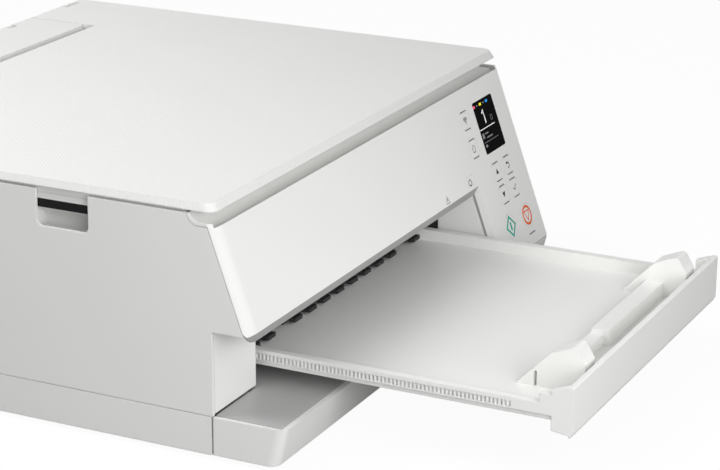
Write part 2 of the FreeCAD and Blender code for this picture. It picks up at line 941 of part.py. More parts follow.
def outlet_duct():
    """Dark lining of the paper opening, with a guide bar and its combs between the two cheeks."""
    front = inner_wall_back + seam
    back = front + duct_depth
    right = column_left + wall
    ceiling = box(opening_left, right, front, back, duct_ceiling, duct_ceiling + duct_wall)
    left_cheek = box(opening_left, opening_left + duct_wall, duct_cheek_start, back,
                     rail_top + duct_rail_gap, duct_ceiling)
    right_cheek = box(right - duct_wall, right, front, back, recess_foot, duct_ceiling)
    guide_bar = box(opening_left + duct_wall, right - duct_wall, guide_bar_front, back,
                    rail_top + duct_rail_gap, rail_top + duct_rail_gap + guide_bar_height)
    left_stop = tray_left + left_stop_inset
    right_stop = tray_right - right_stop_inset - stop_width
    edges = [tray_left + rail_thickness, left_stop, left_stop + stop_width,
             right_stop, right_stop + stop_width, tray_right - rail_thickness]
    combs = [outlet_comb(a + comb_side_gap, b - comb_side_gap) for a, b in zip(edges[::2], edges[1::2])]
    return Part.makeCompound([fuse(ceiling, left_cheek, right_cheek), guide_bar] + combs)


def outlet_comb(x0, x1):
    """Toothed slide under the guide bar, between the places where the page stops come in."""
    low = tray_deck + comb_lift
    bar_low = rail_top + duct_rail_gap
    outline = [(comb_front, low), (comb_front + comb_foot, low), (guide_bar_front, bar_low),
               (guide_bar_front, bar_low + guide_bar_height), (comb_front, low + comb_height)]
    pieces = [prism(outline, "x", x0, x1)]
    count = max(1, int((x1 - x0 - tooth_width) / tooth_pitch) + 1)
    start = (x0 + x1 - (count - 1) * tooth_pitch - tooth_width) / 2
    for step in range(count):
        x = start + step * tooth_pitch
        pieces.append(box(x, x + tooth_width, comb_front - tooth_depth, comb_front + over,
                          low, low + tooth_height))
    return fuse(*pieces)


def tray_front():
    """Front wall of the tray: a leaning inner face, and a solid cheek at each end."""
    low, high = tray_bottom + tray_lip, tray_bottom + tray_front_height
    face, inner = -tray_reach, -tray_reach + tray_wall
    profile = [(face, low), (face, high), (inner, high), (tray_inner, rail_top), (tray_inner, rail_bottom),
               (inner, rail_bottom), (inner, low)]
    bar = prism(profile, "x", tray_left, tray_right)
    bar = bar.makeFillet(tray_edge_radius, along(bar, "x", lambda c: c.y < face + over))
    pieces = [bar]
    cheek = [(inner, low), (inner, high), (tray_inner, high - cheek_drop), (tray_inner, low + tray_lip)]
    for x in (tray_left, tray_right - cheek_width):
        pieces.append(prism(cheek, "x", x, x + cheek_width))
    lip_front = face + tray_edge_radius
    pieces.append(box(tray_left, tray_right, lip_front, lip_front + tray_lip, tray_bottom, low + tray_lip))
    return pieces


def page_stop(x):
    """Raised stop behind the tray's front wall: a long ramp, a gentle crest and a steep fall."""
    top_y = -tray_reach + stop_front_back + stop_fall_depth
    crest = (top_y + stop_crest, stop_top - stop_crest_drop)
    fall = (-tray_reach + stop_front_back, stop_top - stop_fall_drop)
    round_end = (top_y - stop_round / 2, stop_top - stop_round / 2)
    round_start = (top_y + stop_round, stop_top - stop_round / 4)
    foot = rail_bottom
    outline = [(fall[0], foot), fall, round_end, bow(round_end, round_start, -stop_round / 4), crest,
               (crest[0] + stop_ramp_depth, foot)]
    return prism(outline, "x", x, x + stop_width)


def output_tray():
    """Sliding tray: front wall, two rails, floor, page stops and the rack along its left rail."""
    pieces = tray_front()
    left_stop = tray_left + left_stop_inset
    right_stop = tray_right - right_stop_inset - stop_width
    for x in (tray_left, tray_right - rail_thickness):
        pieces.append(box(x, x + rail_thickness, tray_inner, tray_tail, rail_bottom, rail_top))
    inner_left, inner_right = tray_left + rail_thickness, tray_right - rail_thickness
    pieces.append(box(inner_left, inner_right, tray_inner, tray_tail, rail_bottom, tray_deck))
    pieces += [page_stop(left_stop), page_stop(right_stop)]
    bar_start = -tray_reach + bar_front
    shelf_end = tray_left + bar_left
    pieces.append(box(shelf_end, right_stop, bar_start, bar_start + bar_depth,
                      rail_bottom, tray_deck + bar_height))
    pieces.append(box(left_stop + stop_width, shelf_end, bar_start + tray_wall, bar_start + bar_depth,
                      rail_bottom, tray_deck + shelf_height))
    block_top = rail_top + rail_block_rise
    pieces.append(slab(tray_left, inner_left, tray_inner - over, tray_inner + rail_block_depth,
                       rail_bottom + strip_height, block_top, tray_edge_radius, "x"))
    tray = fuse(*pieces)
    slit_y = -tray_reach + slit_back
    slit = slab(left_stop - over, left_stop + slit_depth, slit_y - slit_width / 2, slit_y + slit_width / 2,
                tray_deck, tray_deck + slit_height, slit_width / 3, "x")
    strip = box(tray_left - over, tray_left + strip_depth, tray_inner, tray_tail - rail_thickness,
                rail_bottom - over, rail_bottom + strip_height)
    return tray.cut(Part.makeCompound(rack_slots())).cut(strip).cut(slit)


def rack_slots():
    """Tooth gaps of the rack, closed above and below like the rungs of a ladder."""
    lean = math.tan(math.radians(pressure_angle))
    depth = rack_depth * rack_module
    mouth = rack_pitch / 2 + 2 * rack_module * lean
    root = mouth - 2 * depth * lean
    mouth_x = tray_left - running_fit
    slots = []
    for step in range(-rack_spare, int(tray_travel / rack_pitch) + rack_spare + 1):
        y = pinion_y - step * rack_pitch
        outline = [(mouth_x, y - mouth / 2), (mouth_x, y + mouth / 2),
                   (tray_left + depth, y + root / 2), (tray_left + depth, y - root / 2)]
        slots.append(prism(outline, "z", slot_bottom, slot_bottom + slot_height))
    return slots


def tray_pinion():
    """Pinion in mesh with the tray's rack, with its upright shaft."""
    low = slot_bottom + (slot_height - pinion_thickness) / 2
    wheel = gear(rack_module, pinion_teeth, pinion_thickness)
    wheel.translate(Vector(pinion_x, pinion_y, low))
    shaft_low, shaft_high = low - drive_shaft_foot, rail_top + drive_shaft_rise
    shaft = rod(drive_shaft_radius, (pinion_x, pinion_y, shaft_low), (0, 0, 1), shaft_high - shaft_low)
    return fuse(wheel, shaft)


def tray_motor():
    """Motor and gear case that turn the tray pinion, held by the wall of the recess."""
    low = rail_top + tray_case_gap
    high = low + tray_case_height
    back = pinion_x - tray_case_reach
    half_case = tray_case_half
    case = slab(back, pinion_x + tray_case_nose, pinion_y - half_case, pinion_y + half_case, low, high,
                half_case / 3)
    can = rod(half_case, (back + half_case + over, pinion_y, high), (0, 0, 1), tray_can_height)
    bracket = box(back, back + tray_case_height, wall, pinion_y, low, high)
    bore = rod(drive_shaft_radius + running_fit, (pinion_x, pinion_y, low - over), (0, 0, 1),
               tray_case_height + 2 * over)
    return fuse(case, can, bracket).cut(bore)


def cassette_face():
    """Full-width front of the cassette: raked, rounded at its corners and open on top for the cover."""
    low = foot_height + cassette_lift
    front_low = -cassette_reach + cassette_rake
    face = prism([(front_low, low), (-cassette_reach, base_top), (0.0, base_top), (0.0, low)],
                 "x", -half, half)
    column_edge = column_left - seam
    chin = column_foot - 2 * seam
    face = face.cut(box(column_edge, half + over, -cassette_reach - over, over, chin, base_top + over))
    corners = [e for e in face.Edges if e.BoundBox.XLength < seam and e.BoundBox.ZLength > base_height / 2
               and abs(e.CenterOfMass.x) > half - over and e.CenterOfMass.y < -cassette_reach / 2]
    face = face.makeFillet(corner_radius, corners)
    left, right = -half + cassette_rim, column_edge - cassette_rim
    deck, brim = low + floor, base_top + over
    inner_top = -cassette_reach + cassette_face_wall
    inner_low = inner_top + cassette_rake * (cover_low - deck) / (base_top - low)
    well = prism([(inner_low, deck), (inner_top, cover_low), (inner_top, brim), (-cassette_rim, brim),
                  (-cassette_rim, deck)], "x", left, right)
    seat = box(left, right, -cassette_rim - over, over, cover_low, brim)
    return face.cut(well).cut(seat)


def cassette():
    """Paper cassette: the raked front and a long open tray behind it."""
    left, right = paper_x - cassette_half, paper_x + cassette_half
    rim_back = -cassette_rim
    high = cassette_floor + cassette_side_height
    deck = cassette_floor + cassette_wall
    tub = box(left, right, rim_back, cassette_length, cassette_floor, high)
    tub = tub.cut(box(left + cassette_wall, right - cassette_wall, rim_back - over,
                      cassette_length - cassette_wall, deck, high + over))
    doorway = box(left + cassette_wall, column_left - seam - cassette_rim, rim_back - over, over,
                  deck, high + over)
    return fuse(cassette_face(), tub).cut(doorway)


def cassette_cover():
    """Grey lid over the cassette's front, seated inside its rim and reaching back over the paper."""
    gap = cassette_rim + cover_play
    high = cover_low + cover_thickness
    right = column_left - seam - gap
    front = slab(-half + gap, right, -cassette_reach + cassette_face_wall + cover_play, 0.0,
                 cover_low, high, cover_radius)
    left = paper_x - cassette_half + cassette_wall + seam
    back = box(left, right, -cover_radius, cover_tuck, cover_low, high)
    return fuse(front, back)


def cassette_guide(side):
    """Sliding paper guide in the cassette: an upright wall on a flat foot."""
    low = cassette_floor + cassette_wall + guide_lift
    x = paper_x + side * (paper_half + guide_gap)
    end = guide_start + guide_length
    upright = box(*span(x, x + side * guide_wall), guide_start, end, low, low + guide_height)
    foot = box(*span(x, x - side * guide_foot), guide_start + guide_foot_inset, end - guide_foot_inset,
               low, low + guide_foot_thickness)
    return fuse(upright, foot)


def grip_scoop(side):
    """Finger scoop in a flank of the scanner unit, behind the side cover's notch."""
    start = (side * (scanner_half + over), notch_front - over, scanner_bottom + grip_rise)
    return rod(grip_radius, start, (0, 1, 0), notch_length + 2 * over)


def scanner_arm(start):
    """Arm that reaches back from the scanner unit to one of its hinge lugs."""
    lug = start + lug_width + lug_gap if start > 0 else start
    side = 1 if start > 0 else -1
    low, high = span(side * (scanner_half - arm_width), side * scanner_half)
    low, high = min(low, lug), max(high, lug + lug_width)
    arm_low = tub_top - arm_height
    arm_end = hinge_y - hinge_radius - arm_gap
    arm = box(low, high, scanner_back - over, arm_end, arm_low, tub_top)
    under_lid = lid_bottom - bezel_drop
    leg_back, leg_low = hinge_y - arm_leg, arm_low + arm_leg_rise
    leg = [(hinge_y, hinge_z - hinge_radius), (hinge_y, hinge_z), (hinge_y - hinge_radius, hinge_z),
           (hinge_y - lug_notch_depth + hinge_radius + bezel_drop, under_lid), (leg_back, under_lid),
           (leg_back, leg_low), (arm_end, leg_low),
           (hinge_y - hinge_radius - bezel_drop, lid_bottom - arm_gap)]
    return [arm, hinge_knuckle(lug, lug + lug_width, hinge_pin_radius + running_fit, leg)]


def scanner_tub():
    """Lower half of the scanner unit, with finger grips in its flanks and hinge arms at the back."""
    tub = box(-scanner_half, scanner_half, scanner_front, scanner_back, scanner_bottom, tub_top)
    inner = scanner_half - scanner_wall
    tub = tub.cut(box(-inner, inner, scanner_front + scanner_wall, scanner_back - scanner_wall,
                      scanner_bottom + scanner_wall, tub_top + over))
    pieces = [tub]
    for side in (-1, 1):
        low, high = span(side * (inner - grip_reach), side * scanner_half)
        pieces.append(box(low, high, notch_front - grip_wall, notch_front + notch_length + grip_wall,
                          scanner_bottom, tub_top))
    tub = fuse(*pieces).cut(grip_scoop(-1)).cut(grip_scoop(1))
    arms = [piece for start in lid_lug_starts() for piece in scanner_arm(start)]
    return fuse(tub, *arms)


def scanner_bezel():
    """Upper frame of the scanner unit round the glass."""
    low = bezel_top - bezel_thickness
    plate = slab(-scanner_half, scanner_half, scanner_front, scanner_back, low, bezel_top, bezel_radius)
    lip = glass_seat
    hole = box(-glass_half + lip, glass_half - lip, glass_near + lip, glass_far - lip,
               low - over, bezel_top + over)
    seat = box(-glass_half, glass_half, glass_near, glass_far, bezel_top - glass_thickness, bezel_top + over)
    return plate.cut(hole).cut(seat)


def platen_glass():
    """Glass plate, let into the bezel."""
    return box(-glass_half, glass_half, glass_near, glass_far, bezel_top - glass_thickness, bezel_top)


def scan_rod():
    """Guide rod of the scan bar, from wall to wall of the scanner unit."""
    reach = scanner_half - scanner_wall
    return rod(scan_rod_radius, (-reach, scan_rod_y, scan_rod_z), (1, 0, 0), 2 * reach)


def scan_bar():
    """Contact image sensor bar: it rides on the rod and looks up through the glass."""
    left = -glass_half + scan_inset
    right = left + scan_bar_width
    top = tub_top - scan_bar_gap
    bar_low = top - scan_bar_height
    bar = box(left, right, glass_near + scan_bar_end, glass_far - scan_bar_end, bar_low, top)
    shoe = box(left, right, scan_rod_y - scan_shoe_half, scan_rod_y + scan_shoe_half,
               scanner_bottom + scanner_wall + scan_shoe_gap, bar_low)
    bore = rod(scan_rod_radius + running_fit, (left - over, scan_rod_y, scan_rod_z), (1, 0, 0),
               scan_bar_width + 2 * over)
    return fuse(bar, shoe).cut(bore)


def frame_plate(x):
    """Side plate of the print engine on two feet, with bearing holes for the shafts."""
    plate = box(x, x + frame_sheet, frame_front, frame_back, frame_foot, frame_top)
    foot_back = frame_back - frame_foot_inset - frame_foot_length
    for y in (frame_front + frame_foot_inset, foot_back):
        plate = plate.fuse(box(x, x + frame_sheet, y, y + frame_foot_length, base_floor, frame_foot))
    if x == frame_left:
        reach = motor_radius + motor_lug_margin
        plate = plate.fuse(box(x, x + frame_sheet, idler_y - reach, idler_y + reach, base_floor, frame_foot))
        plate = plate.cut(rod(drive_shaft_radius + running_fit, (x - over, idler_y, motor_z), (1, 0, 0),
                              frame_sheet + 2 * over))
    for y in (eject_y, idler_y, feed_y):
        plate = plate.cut(rod(journal_radius + running_fit, (x - over, y, roller_z), (1, 0, 0),
                              frame_sheet + 2 * over))
    return plate.removeSplitter()


def tray_ledge(x, plate, side):
    """Ledge under one of the tray's rails, tied to a frame plate at two places."""
    high = rail_bottom - seam
    low = high - ledge_thickness
    back = frame_back - ledge_back_gap
    ledge = box(*span(x, x + side * ledge_depth), 2 * wall, back, low, high)
    tie_x = span(plate, x)
    front = frame_front + ledge_depth
    front_tie = box(*tie_x, front, front + frame_foot_length, low, high)
    back_tie = box(*tie_x, back - frame_foot_length, back, low, high)
    return fuse(ledge, front_tie, back_tie)


def pulley_bracket():
    """Bracket on the left frame plate that holds the idler pulley."""
    tie = box(frame_inner, belt_left, bearing_y, bearing_y + bracket_tie_depth,
              belt_z - bracket_tie_half, belt_z + bracket_tie_half)
    return fuse(bearing_block(belt_left, bracket_depth), tie).cut(shaft_bore(belt_left))


def engine_frame():
    """Sheet-steel frame of the print engine: side plates, tray ledges and the idler pulley's bracket."""
    return Part.makeCompound([frame_plate(frame_left), frame_plate(frame_right),
                              tray_ledge(tray_left, frame_inner, 1), tray_ledge(tray_right, frame_right, -1),
                              pulley_bracket()])


def carriage_rail():
    """Folded steel rail that the print carriage hangs on, from frame plate to frame plate."""
    t = frame_sheet
    back = rail_y + rail_depth
    low = carriage_high - rail_fold_height
    outline = [(rail_y, low), (back, low), (back, low + t), (rail_y + t, low + t),
               (rail_y + t, carriage_high - t), (back, carriage_high - t), (back, carriage_high),
               (rail_y, carriage_high)]
    return prism(outline, "x", frame_inner, frame_right)


def geared_roller(y):
    """Rubber-coated roller on a shaft with journals in the frame plates and a gear on its left end."""
    left, right = frame_inner + roller_end_gap, frame_right - roller_end_gap
    body = rod(roller_radius, (left, y, roller_z), (1, 0, 0), right - left)
    first, last = gear_x - shaft_end, frame_right + frame_sheet + shaft_end
    shaft = rod(journal_radius, (first, y, roller_z), (1, 0, 0), last - first)
    gap_to_idler = 90.0 + 180.0 / roller_teeth
    wheel = gear_x_axis(gear(gear_module, roller_teeth, gear_thickness), gear_x, y, roller_z, gap_to_idler)
    return fuse(body, shaft, wheel)


def gear_window(step):
    """Opening between two spokes of the idler wheel."""
    middle = 2 * math.pi * step / idler_windows
    points = []
    for radius, turn in ((window_inner, -1), (window_outer, -1), (window_outer, 1), (window_inner, 1)):
        angle = middle + turn * (math.pi / idler_windows - window_rib / 2 / radius)
        points.append((radius * math.cos(angle), radius * math.sin(angle)))
    return prism(points, "z", -over, gear_thickness + over)


def idler_gear():
    """Large spoked wheel between the two roller gears, on a stub shaft in the left frame plate."""
    wheel = gear(gear_module, idler_teeth, gear_thickness)
    wheel = wheel.cut(Part.makeCompound([gear_window(step) for step in range(idler_windows)]))
    wheel = gear_x_axis(wheel, gear_x, idler_y, roller_z, 90.0)
    first, last = gear_x - shaft_end, frame_inner + shaft_end
    return fuse(wheel, rod(journal_radius, (first, idler_y, roller_z), (1, 0, 0), last - first))


def feed_motor():
    """Motor inside the left frame plate that drives the rollers."""
    can = rod(motor_radius, (frame_inner, idler_y, motor_z), (1, 0, 0), motor_length)
    return can.cut(rod(drive_shaft_radius + running_fit, (frame_inner - over, idler_y, motor_z), (1, 0, 0),
                       motor_shaft_bite + 2 * over))


def motor_pinion():
    """Pinion of the feed motor with its shaft, in mesh with the idler."""
    wheel = gear_x_axis(gear(gear_module, motor_teeth, gear_thickness), gear_x, idler_y, motor_z)
    shaft_end_x = frame_inner + motor_shaft_bite
    shaft = rod(drive_shaft_radius, (gear_x, idler_y, motor_z), (1, 0, 0), shaft_end_x - gear_x)
    return fuse(wheel, shaft)


def platen():
    """Ribbed plate under the print head, with an apron down to the front and ears to the frame."""
    left, right = paper_x - paper_half - platen_side, paper_x + paper_half + platen_side
    low = platen_top - platen_thickness
    pieces = [box(left, right, platen_front, platen_back, low, platen_top),
              box(left, right, platen_front, platen_front + platen_thickness,
                  platen_top - platen_apron, platen_top),
              box(frame_inner, frame_right, platen_front + ear_front, platen_front + ear_back,
                  low, platen_top - platen_drop)]
    first = left + platen_rib_inset
    pitch = (right - platen_rib_inset - first) / (platen_rib_count - 1)
    for i in range(platen_rib_count):
        x = first + i * pitch - platen_rib_width / 2
        pieces.append(box(x, x + platen_rib_width, platen_front + platen_rib_inset,
                          platen_back - platen_rib_inset, platen_top, platen_top + platen_rib_height))
    return fuse(*pieces)


def star_wheel(x):
    """Thin toothed wheel that holds the wet page on the eject roller."""
    points = []
    for step in range(2 * star_points):
        angle = math.pi * step / star_points
        radius = star_radius - (step % 2) * star_bite
        points.append((eject_y + radius * math.sin(angle), star_z + radius * math.cos(angle)))
    return prism(points, "x", x - star_thickness / 2, x + star_thickness / 2)


def spur_wheels():
    """Star wheels above the eject roller, on one thin shaft in the frame."""
    shaft = rod(star_shaft_radius, (frame_inner, eject_y, star_z), (1, 0, 0), frame_right - frame_inner)
    first = paper_x - paper_half + star_inset
    pitch = 2 * (paper_half - star_inset) / (star_count - 1)
    return fuse(shaft, *[star_wheel(first + i * pitch) for i in range(star_count)])


def print_carriage():
    """Open box that carries the ink tanks, hung on the rail by a hook, with the print head below."""
    deck = carriage_low + head_height
    shell = box(carriage_left, carriage_right, carriage_front, carriage_back, deck,
                carriage_high - carriage_shell_drop)
    shell = shell.cut(box(carriage_left + carriage_wall, carriage_right - carriage_wall,
                          carriage_front + carriage_wall, carriage_back - carriage_spine,
                          deck + head_height, carriage_high))
    head = box(carriage_left + head_side, carriage_right - head_side, carriage_front + head_front,
               carriage_back - head_back, carriage_low, deck)
    under, top = carriage_high + carriage_slide_gap, carriage_high + hook_rise
    root = carriage_high - hook_root
    spine = carriage_back - carriage_spine
    inner = rail_y + rail_depth + carriage_slide_gap
    outer = inner + hook_wall
    tip = carriage_high - hook_drop
    hook = prism([(spine, root), (spine, top), (outer, top), (outer, tip), (inner, tip), (inner, under),
                  (carriage_back, under), (carriage_back, root)],
                 "x", carriage_left + hook_side, carriage_right - hook_side)
    return fuse(shell, head, hook)


def ink_tanks():
    """Row of separate ink tanks standing in the carriage, each with a latch at its front."""
    left, right = carriage_left + carriage_wall, carriage_right - carriage_wall
    front = carriage_front + carriage_wall + carriage_slide_gap
    back = carriage_back - carriage_spine - carriage_slide_gap
    low, high = carriage_low + 2 * head_height, carriage_high - tank_drop
    each = (right - left - tank_gap * (tank_count + 1)) / tank_count
    tanks = []
    for i in range(tank_count):
        x = left + tank_gap + i * (each + tank_gap)
        tank = box(x, x + each, front, back, low, high)
        rise = high + tank_latch_rise
        latch = prism([(front, high), (front + tank_latch_front, rise), (front + tank_latch_back, rise),
                       (front + tank_latch_back, high)], "x", x, x + each)
        tanks.append(tank.fuse(latch).removeSplitter())
    return Part.makeCompound(tanks)


def belt_loop(radius):
    """Filled outline of the carriage belt at a distance from the pulleys' axes."""
    low, high = belt_z - radius, belt_z + radius
    return prism([(belt_left, low, (belt_left - radius, belt_z)), (belt_right, low),
                  (belt_right, high, (belt_right + radius, belt_z)), (belt_left, high)],
                 "y", belt_y, belt_y + belt_width)


def drive_belt():
    """Carriage belt: a flat loop round the two pulleys."""
    inner = pulley_radius + belt_seat
    return belt_loop(inner + belt_thickness).cut(belt_loop(inner))


def pulley(x):
    """Flanged belt pulley on its shaft."""
    drum = rod(pulley_radius, (x, belt_y - pulley_end, belt_z), (0, 1, 0), belt_width + 2 * pulley_end)
    flange_y = belt_y + belt_width + pulley_end
    flange = rod(pulley_radius + pulley_flange, (x, flange_y, belt_z), (0, 1, 0), pulley_flange_thickness)
    shaft = rod(pulley_shaft_radius, (x, flange_y + pulley_flange_thickness, belt_z), (0, 1, 0),
                pulley_shaft_length)
    return fuse(drum, flange, shaft)


def bearing_block(x, length):
    """Flat-sided block behind a pulley that holds its shaft."""
    block = rod(motor_radius, (x, bearing_y, belt_z), (0, 1, 0), length)
    return block.common(box(x - motor_radius, x + motor_radius, bearing_y, bearing_y + length,
                            belt_z - bearing_half_height, belt_z + bearing_half_height))


def shaft_bore(x):
    """Running bore for a pulley's shaft."""
    return rod(pulley_shaft_radius + running_fit, (x, belt_y, belt_z), (0, 1, 0),
               belt_width + bearing_gap + pulley_shaft_length)


def carriage_motor():
    """Motor on the right frame plate that turns the drive pulley."""
    tie = box(belt_right, frame_right, bearing_y, bearing_y + bracket_tie_depth,
              belt_z - bracket_tie_half, belt_z + bracket_tie_half)
    return fuse(bearing_block(belt_right, carriage_motor_length), tie).cut(shaft_bore(belt_right))


def rear_chute():
    """Sloping paper support of the rear tray, from under its cover down to the feed roller."""
    left, right = paper_x - paper_half - chute_side, paper_x + paper_half + chute_side
    dy, dz = -chute_thickness * math.sin(chute_rise), chute_thickness * math.cos(chute_rise)
    low, top = (chute_low_y, chute_low_z), (chute_top_y, chute_top_z)
    upper_top = (chute_top_y + dy, chute_top_z + dz)
    plate = prism([low, top, upper_top, (chute_low_y + dy, chute_low_z + dz)], "x", left, right)
    deep = chute_top_z - chute_tie * math.tan(chute_rise)
    back = body_depth - wall
    tie = [(chute_top_y - chute_tie, deep), top, upper_top, (back, chute_top_z), (back, deep)]
    ties = [prism(tie, "x", x, x + chute_thickness) for x in (left, right - chute_thickness)]
    return fuse(plate, *ties)


def chute_spot(distance, above):
    """Place in the YZ plane of a point up the rear chute and above it."""
    y = chute_low_y + distance * math.cos(chute_rise) - above * math.sin(chute_rise)
    return y, chute_low_z + distance * math.sin(chute_rise) + above * math.cos(chute_rise)


def rear_guide(side):
    """Sliding guide on the rear chute, lying along the slope."""
    low = chute_thickness + seam
    high = low + rear_guide_height
    end = rear_guide_start + rear_guide_length
    outline = [chute_spot(rear_guide_start, low), chute_spot(end, low), chute_spot(end, high),
               chute_spot(rear_guide_start + rear_guide_nose, high)]
    x = paper_x + side * (paper_half + guide_gap)
    return prism(outline, "x", *span(x, x + side * guide_wall))


def duplex_cover():
    """Removable cover at the back that turns the paper round, with a hand recess."""
    across = duplex_half - duplex_play
    left, right = paper_x - across, paper_x + across
    low, high = duplex_bottom + duplex_play, duplex_bottom + duplex_height - duplex_play
    front = body_depth - duplex_depth
    block = box(left, right, front, body_depth, low, high)
    hollow = rod(duplex_hollow_radius, (left + duplex_end_wall, front, (low + high) / 2), (1, 0, 0),
                 right - left - 2 * duplex_end_wall)
    grip_top = high - duplex_grip_drop
    grip = slab(paper_x - duplex_grip_half, paper_x + duplex_grip_half, body_depth - duplex_grip_depth,
                body_depth + over, grip_top - duplex_grip_height, grip_top, duplex_grip_radius, "y")
    return block.cut(hollow).cut(grip)


def socket_void(x, z, across, high):
    """Hole in the back panel for a socket."""
    reach_x, reach_z = across / 2 + socket_wall + seam, high / 2 + socket_wall + seam
    return box(x - reach_x, x + reach_x, body_depth - wall - over, body_depth + over,
               z - reach_z, z + reach_z)


def socket(x, z, across, high, depth):
    """Open socket housing, closed at its inner end."""
    reach_x, reach_z = across / 2 + socket_wall, high / 2 + socket_wall
    inner = body_depth - depth
    case = box(x - reach_x, x + reach_x, inner, body_depth - socket_setback, z - reach_z, z + reach_z)
    return case.cut(box(x - across / 2, x + across / 2, inner + socket_wall, body_depth + over,
                        z - high / 2, z + high / 2))


def power_inlet():
    """Two-pin mains inlet with its contact pins."""
    case = socket(inlet_x, inlet_z, inlet_width, inlet_height, inlet_depth)
    length = inlet_depth - inlet_pin_setback
    pins = [rod(inlet_pin_radius, (inlet_x + dx, body_depth - inlet_depth, inlet_z), (0, 1, 0), length)
            for dx in (-inlet_pin_spread, inlet_pin_spread)]
    return fuse(case, *pins)


def usb_port():
    """Square data socket with its inner tongue."""
    case = socket(usb_x, usb_z, usb_size, usb_size, usb_depth)
    across, high = usb_tongue_width / 2, usb_tongue_height / 2
    tongue = box(usb_x - across, usb_x + across, body_depth - usb_depth, body_depth - usb_tongue_setback,
                 usb_z - high, usb_z + high)
    return fuse(case, tongue)


def power_supply():
    """Power supply block beside the frame, in front of the inlet."""
    back = body_depth - inlet_depth - 2 * supply_gap
    return box(frame_right + frame_sheet + supply_gap, half - wall - supply_gap, back - supply_length, back,
               base_floor, base_floor + supply_height)


def main_board():
    """Main circuit board on the left, tied to the data socket and standing on the base."""
    right = gear_x - main_board_gap
    left = right - board_thickness
    back = body_depth - main_board_back
    board = box(left, right, back - main_board_length, back, main_board_low, main_board_high)
    tie_back = body_depth - main_board_tie_back
    tie = box(right, usb_x - usb_size / 2 - socket_wall, tie_back - main_board_tie, tie_back,
              usb_z - main_board_tie / 2, usb_z + main_board_tie / 2)
    foot_back = body_depth - main_board_foot_back
    foot = box(left, right, foot_back - main_board_foot, foot_back, base_floor, main_board_low)
    return fuse(board, tie, foot)


def purge_unit():
    """Capping and cleaning station under the parked carriage, on the right."""
    right = frame_right - purge_gap
    left = right - carriage_width + purge_inset
    front, back = platen_front + ear_back + seam, platen_back - purge_inset
    top = carriage_low - purge_play
    deck = top - cap_height
    low = deck - purge_height
    inset = purge_inset / 2
    body = box(left, right, front, back, low, deck)
    cap = slab(left + inset, right - inset, front + inset, back - inset, deck, top, cap_radius)
    tie = box(right, frame_right, front + inset, back - inset, low, deck - purge_height / 2)
    return fuse(body, cap, tie)


def ink_absorber():
    """Felt pad on the floor of the base that soaks up cleaning ink."""
    left = paper_x + cassette_half + cassette_clear + rail_wall + felt_gap
    return slab(left, frame_right - felt_gap, felt_front, felt_front + felt_length,
                base_floor, base_floor + felt_height, felt_radius)


def builders():
    """Every piece by its node name."""
    made = {
        "base": base, "feet": feet,
        "side_cover_left": lambda: side_cover(-1), "side_cover_right": lambda: side_cover(1),
        "rear_cover": rear_cover, "hinge_pins": hinge_pins,
        "document_cover": document_cover, "document_pad": document_pad, "rear_tray_cover": rear_tray_cover,
        "operation_panel": operation_panel, "display_window": display_window,
        "control_board": control_board, "front_frame": front_frame,
        "outlet_duct": outlet_duct, "output_tray": output_tray,
        "tray_pinion": tray_pinion, "tray_motor": tray_motor,
        "cassette": cassette, "cassette_cover": cassette_cover,
        "cassette_guide_left": lambda: cassette_guide(-1), "cassette_guide_right": lambda: cassette_guide(1),
        "scanner_tub": scanner_tub, "scanner_bezel": scanner_bezel, "platen_glass": platen_glass,
        "scan_rod": scan_rod, "scan_bar": scan_bar,
        "engine_frame": engine_frame, "carriage_rail": carriage_rail, "platen": platen,
        "feed_roller": lambda: geared_roller(feed_y), "eject_roller": lambda: geared_roller(eject_y),
        "idler_gear": idler_gear, "feed_motor": feed_motor, "motor_pinion": motor_pinion,
        "spur_wheels": spur_wheels, "print_carriage": print_carriage, "ink_tanks": ink_tanks,
        "drive_belt": drive_belt, "carriage_motor": carriage_motor,
        "drive_pulley": lambda: pulley(belt_right), "idler_pulley": lambda: pulley(belt_left),
        "rear_chute": rear_chute,
        "rear_guide_left": lambda: rear_guide(-1), "rear_guide_right": lambda: rear_guide(1),
        "duplex_cover": duplex_cover, "power_inlet": power_inlet, "usb_port": usb_port,
        "power_supply": power_supply, "main_board": main_board,
        "purge_unit": purge_unit, "ink_absorber": ink_absorber,
    }
    for name, x, s, size in key_places():
        made[name] = lambda x=x, s=s, size=size: key(x, s, size)
    return made


def main():
    """Builds every piece and writes it, with the origin under the middle of the object."""
    os.makedirs("parts", exist_ok=True)
    for name, build in builders().items():
        shape = build()
        shape.translate(Vector(0, frame_y, 0))
        shape.exportStep(os.path.join("parts", name + ".step"))


main()
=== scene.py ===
import logging
import math
from dataclasses import dataclass
from enum import Enum

import bmesh
import bpy
from mathutils import Matrix, Vector


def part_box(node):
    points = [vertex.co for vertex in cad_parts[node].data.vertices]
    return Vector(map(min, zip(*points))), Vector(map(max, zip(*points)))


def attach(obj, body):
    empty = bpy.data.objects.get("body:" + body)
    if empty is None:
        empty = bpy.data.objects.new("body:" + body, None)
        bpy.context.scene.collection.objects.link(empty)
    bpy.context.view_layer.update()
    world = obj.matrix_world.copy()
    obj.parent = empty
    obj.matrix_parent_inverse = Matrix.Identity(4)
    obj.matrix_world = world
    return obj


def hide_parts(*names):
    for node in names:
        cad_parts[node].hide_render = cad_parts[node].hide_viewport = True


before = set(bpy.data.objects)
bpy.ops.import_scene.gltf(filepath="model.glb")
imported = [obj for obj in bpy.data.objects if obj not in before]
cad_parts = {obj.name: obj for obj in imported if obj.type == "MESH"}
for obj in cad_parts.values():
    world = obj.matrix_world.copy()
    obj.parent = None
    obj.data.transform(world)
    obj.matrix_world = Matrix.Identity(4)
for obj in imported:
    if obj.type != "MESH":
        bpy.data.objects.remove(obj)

LOG = logging.getLogger("printer")
MM = 0.001

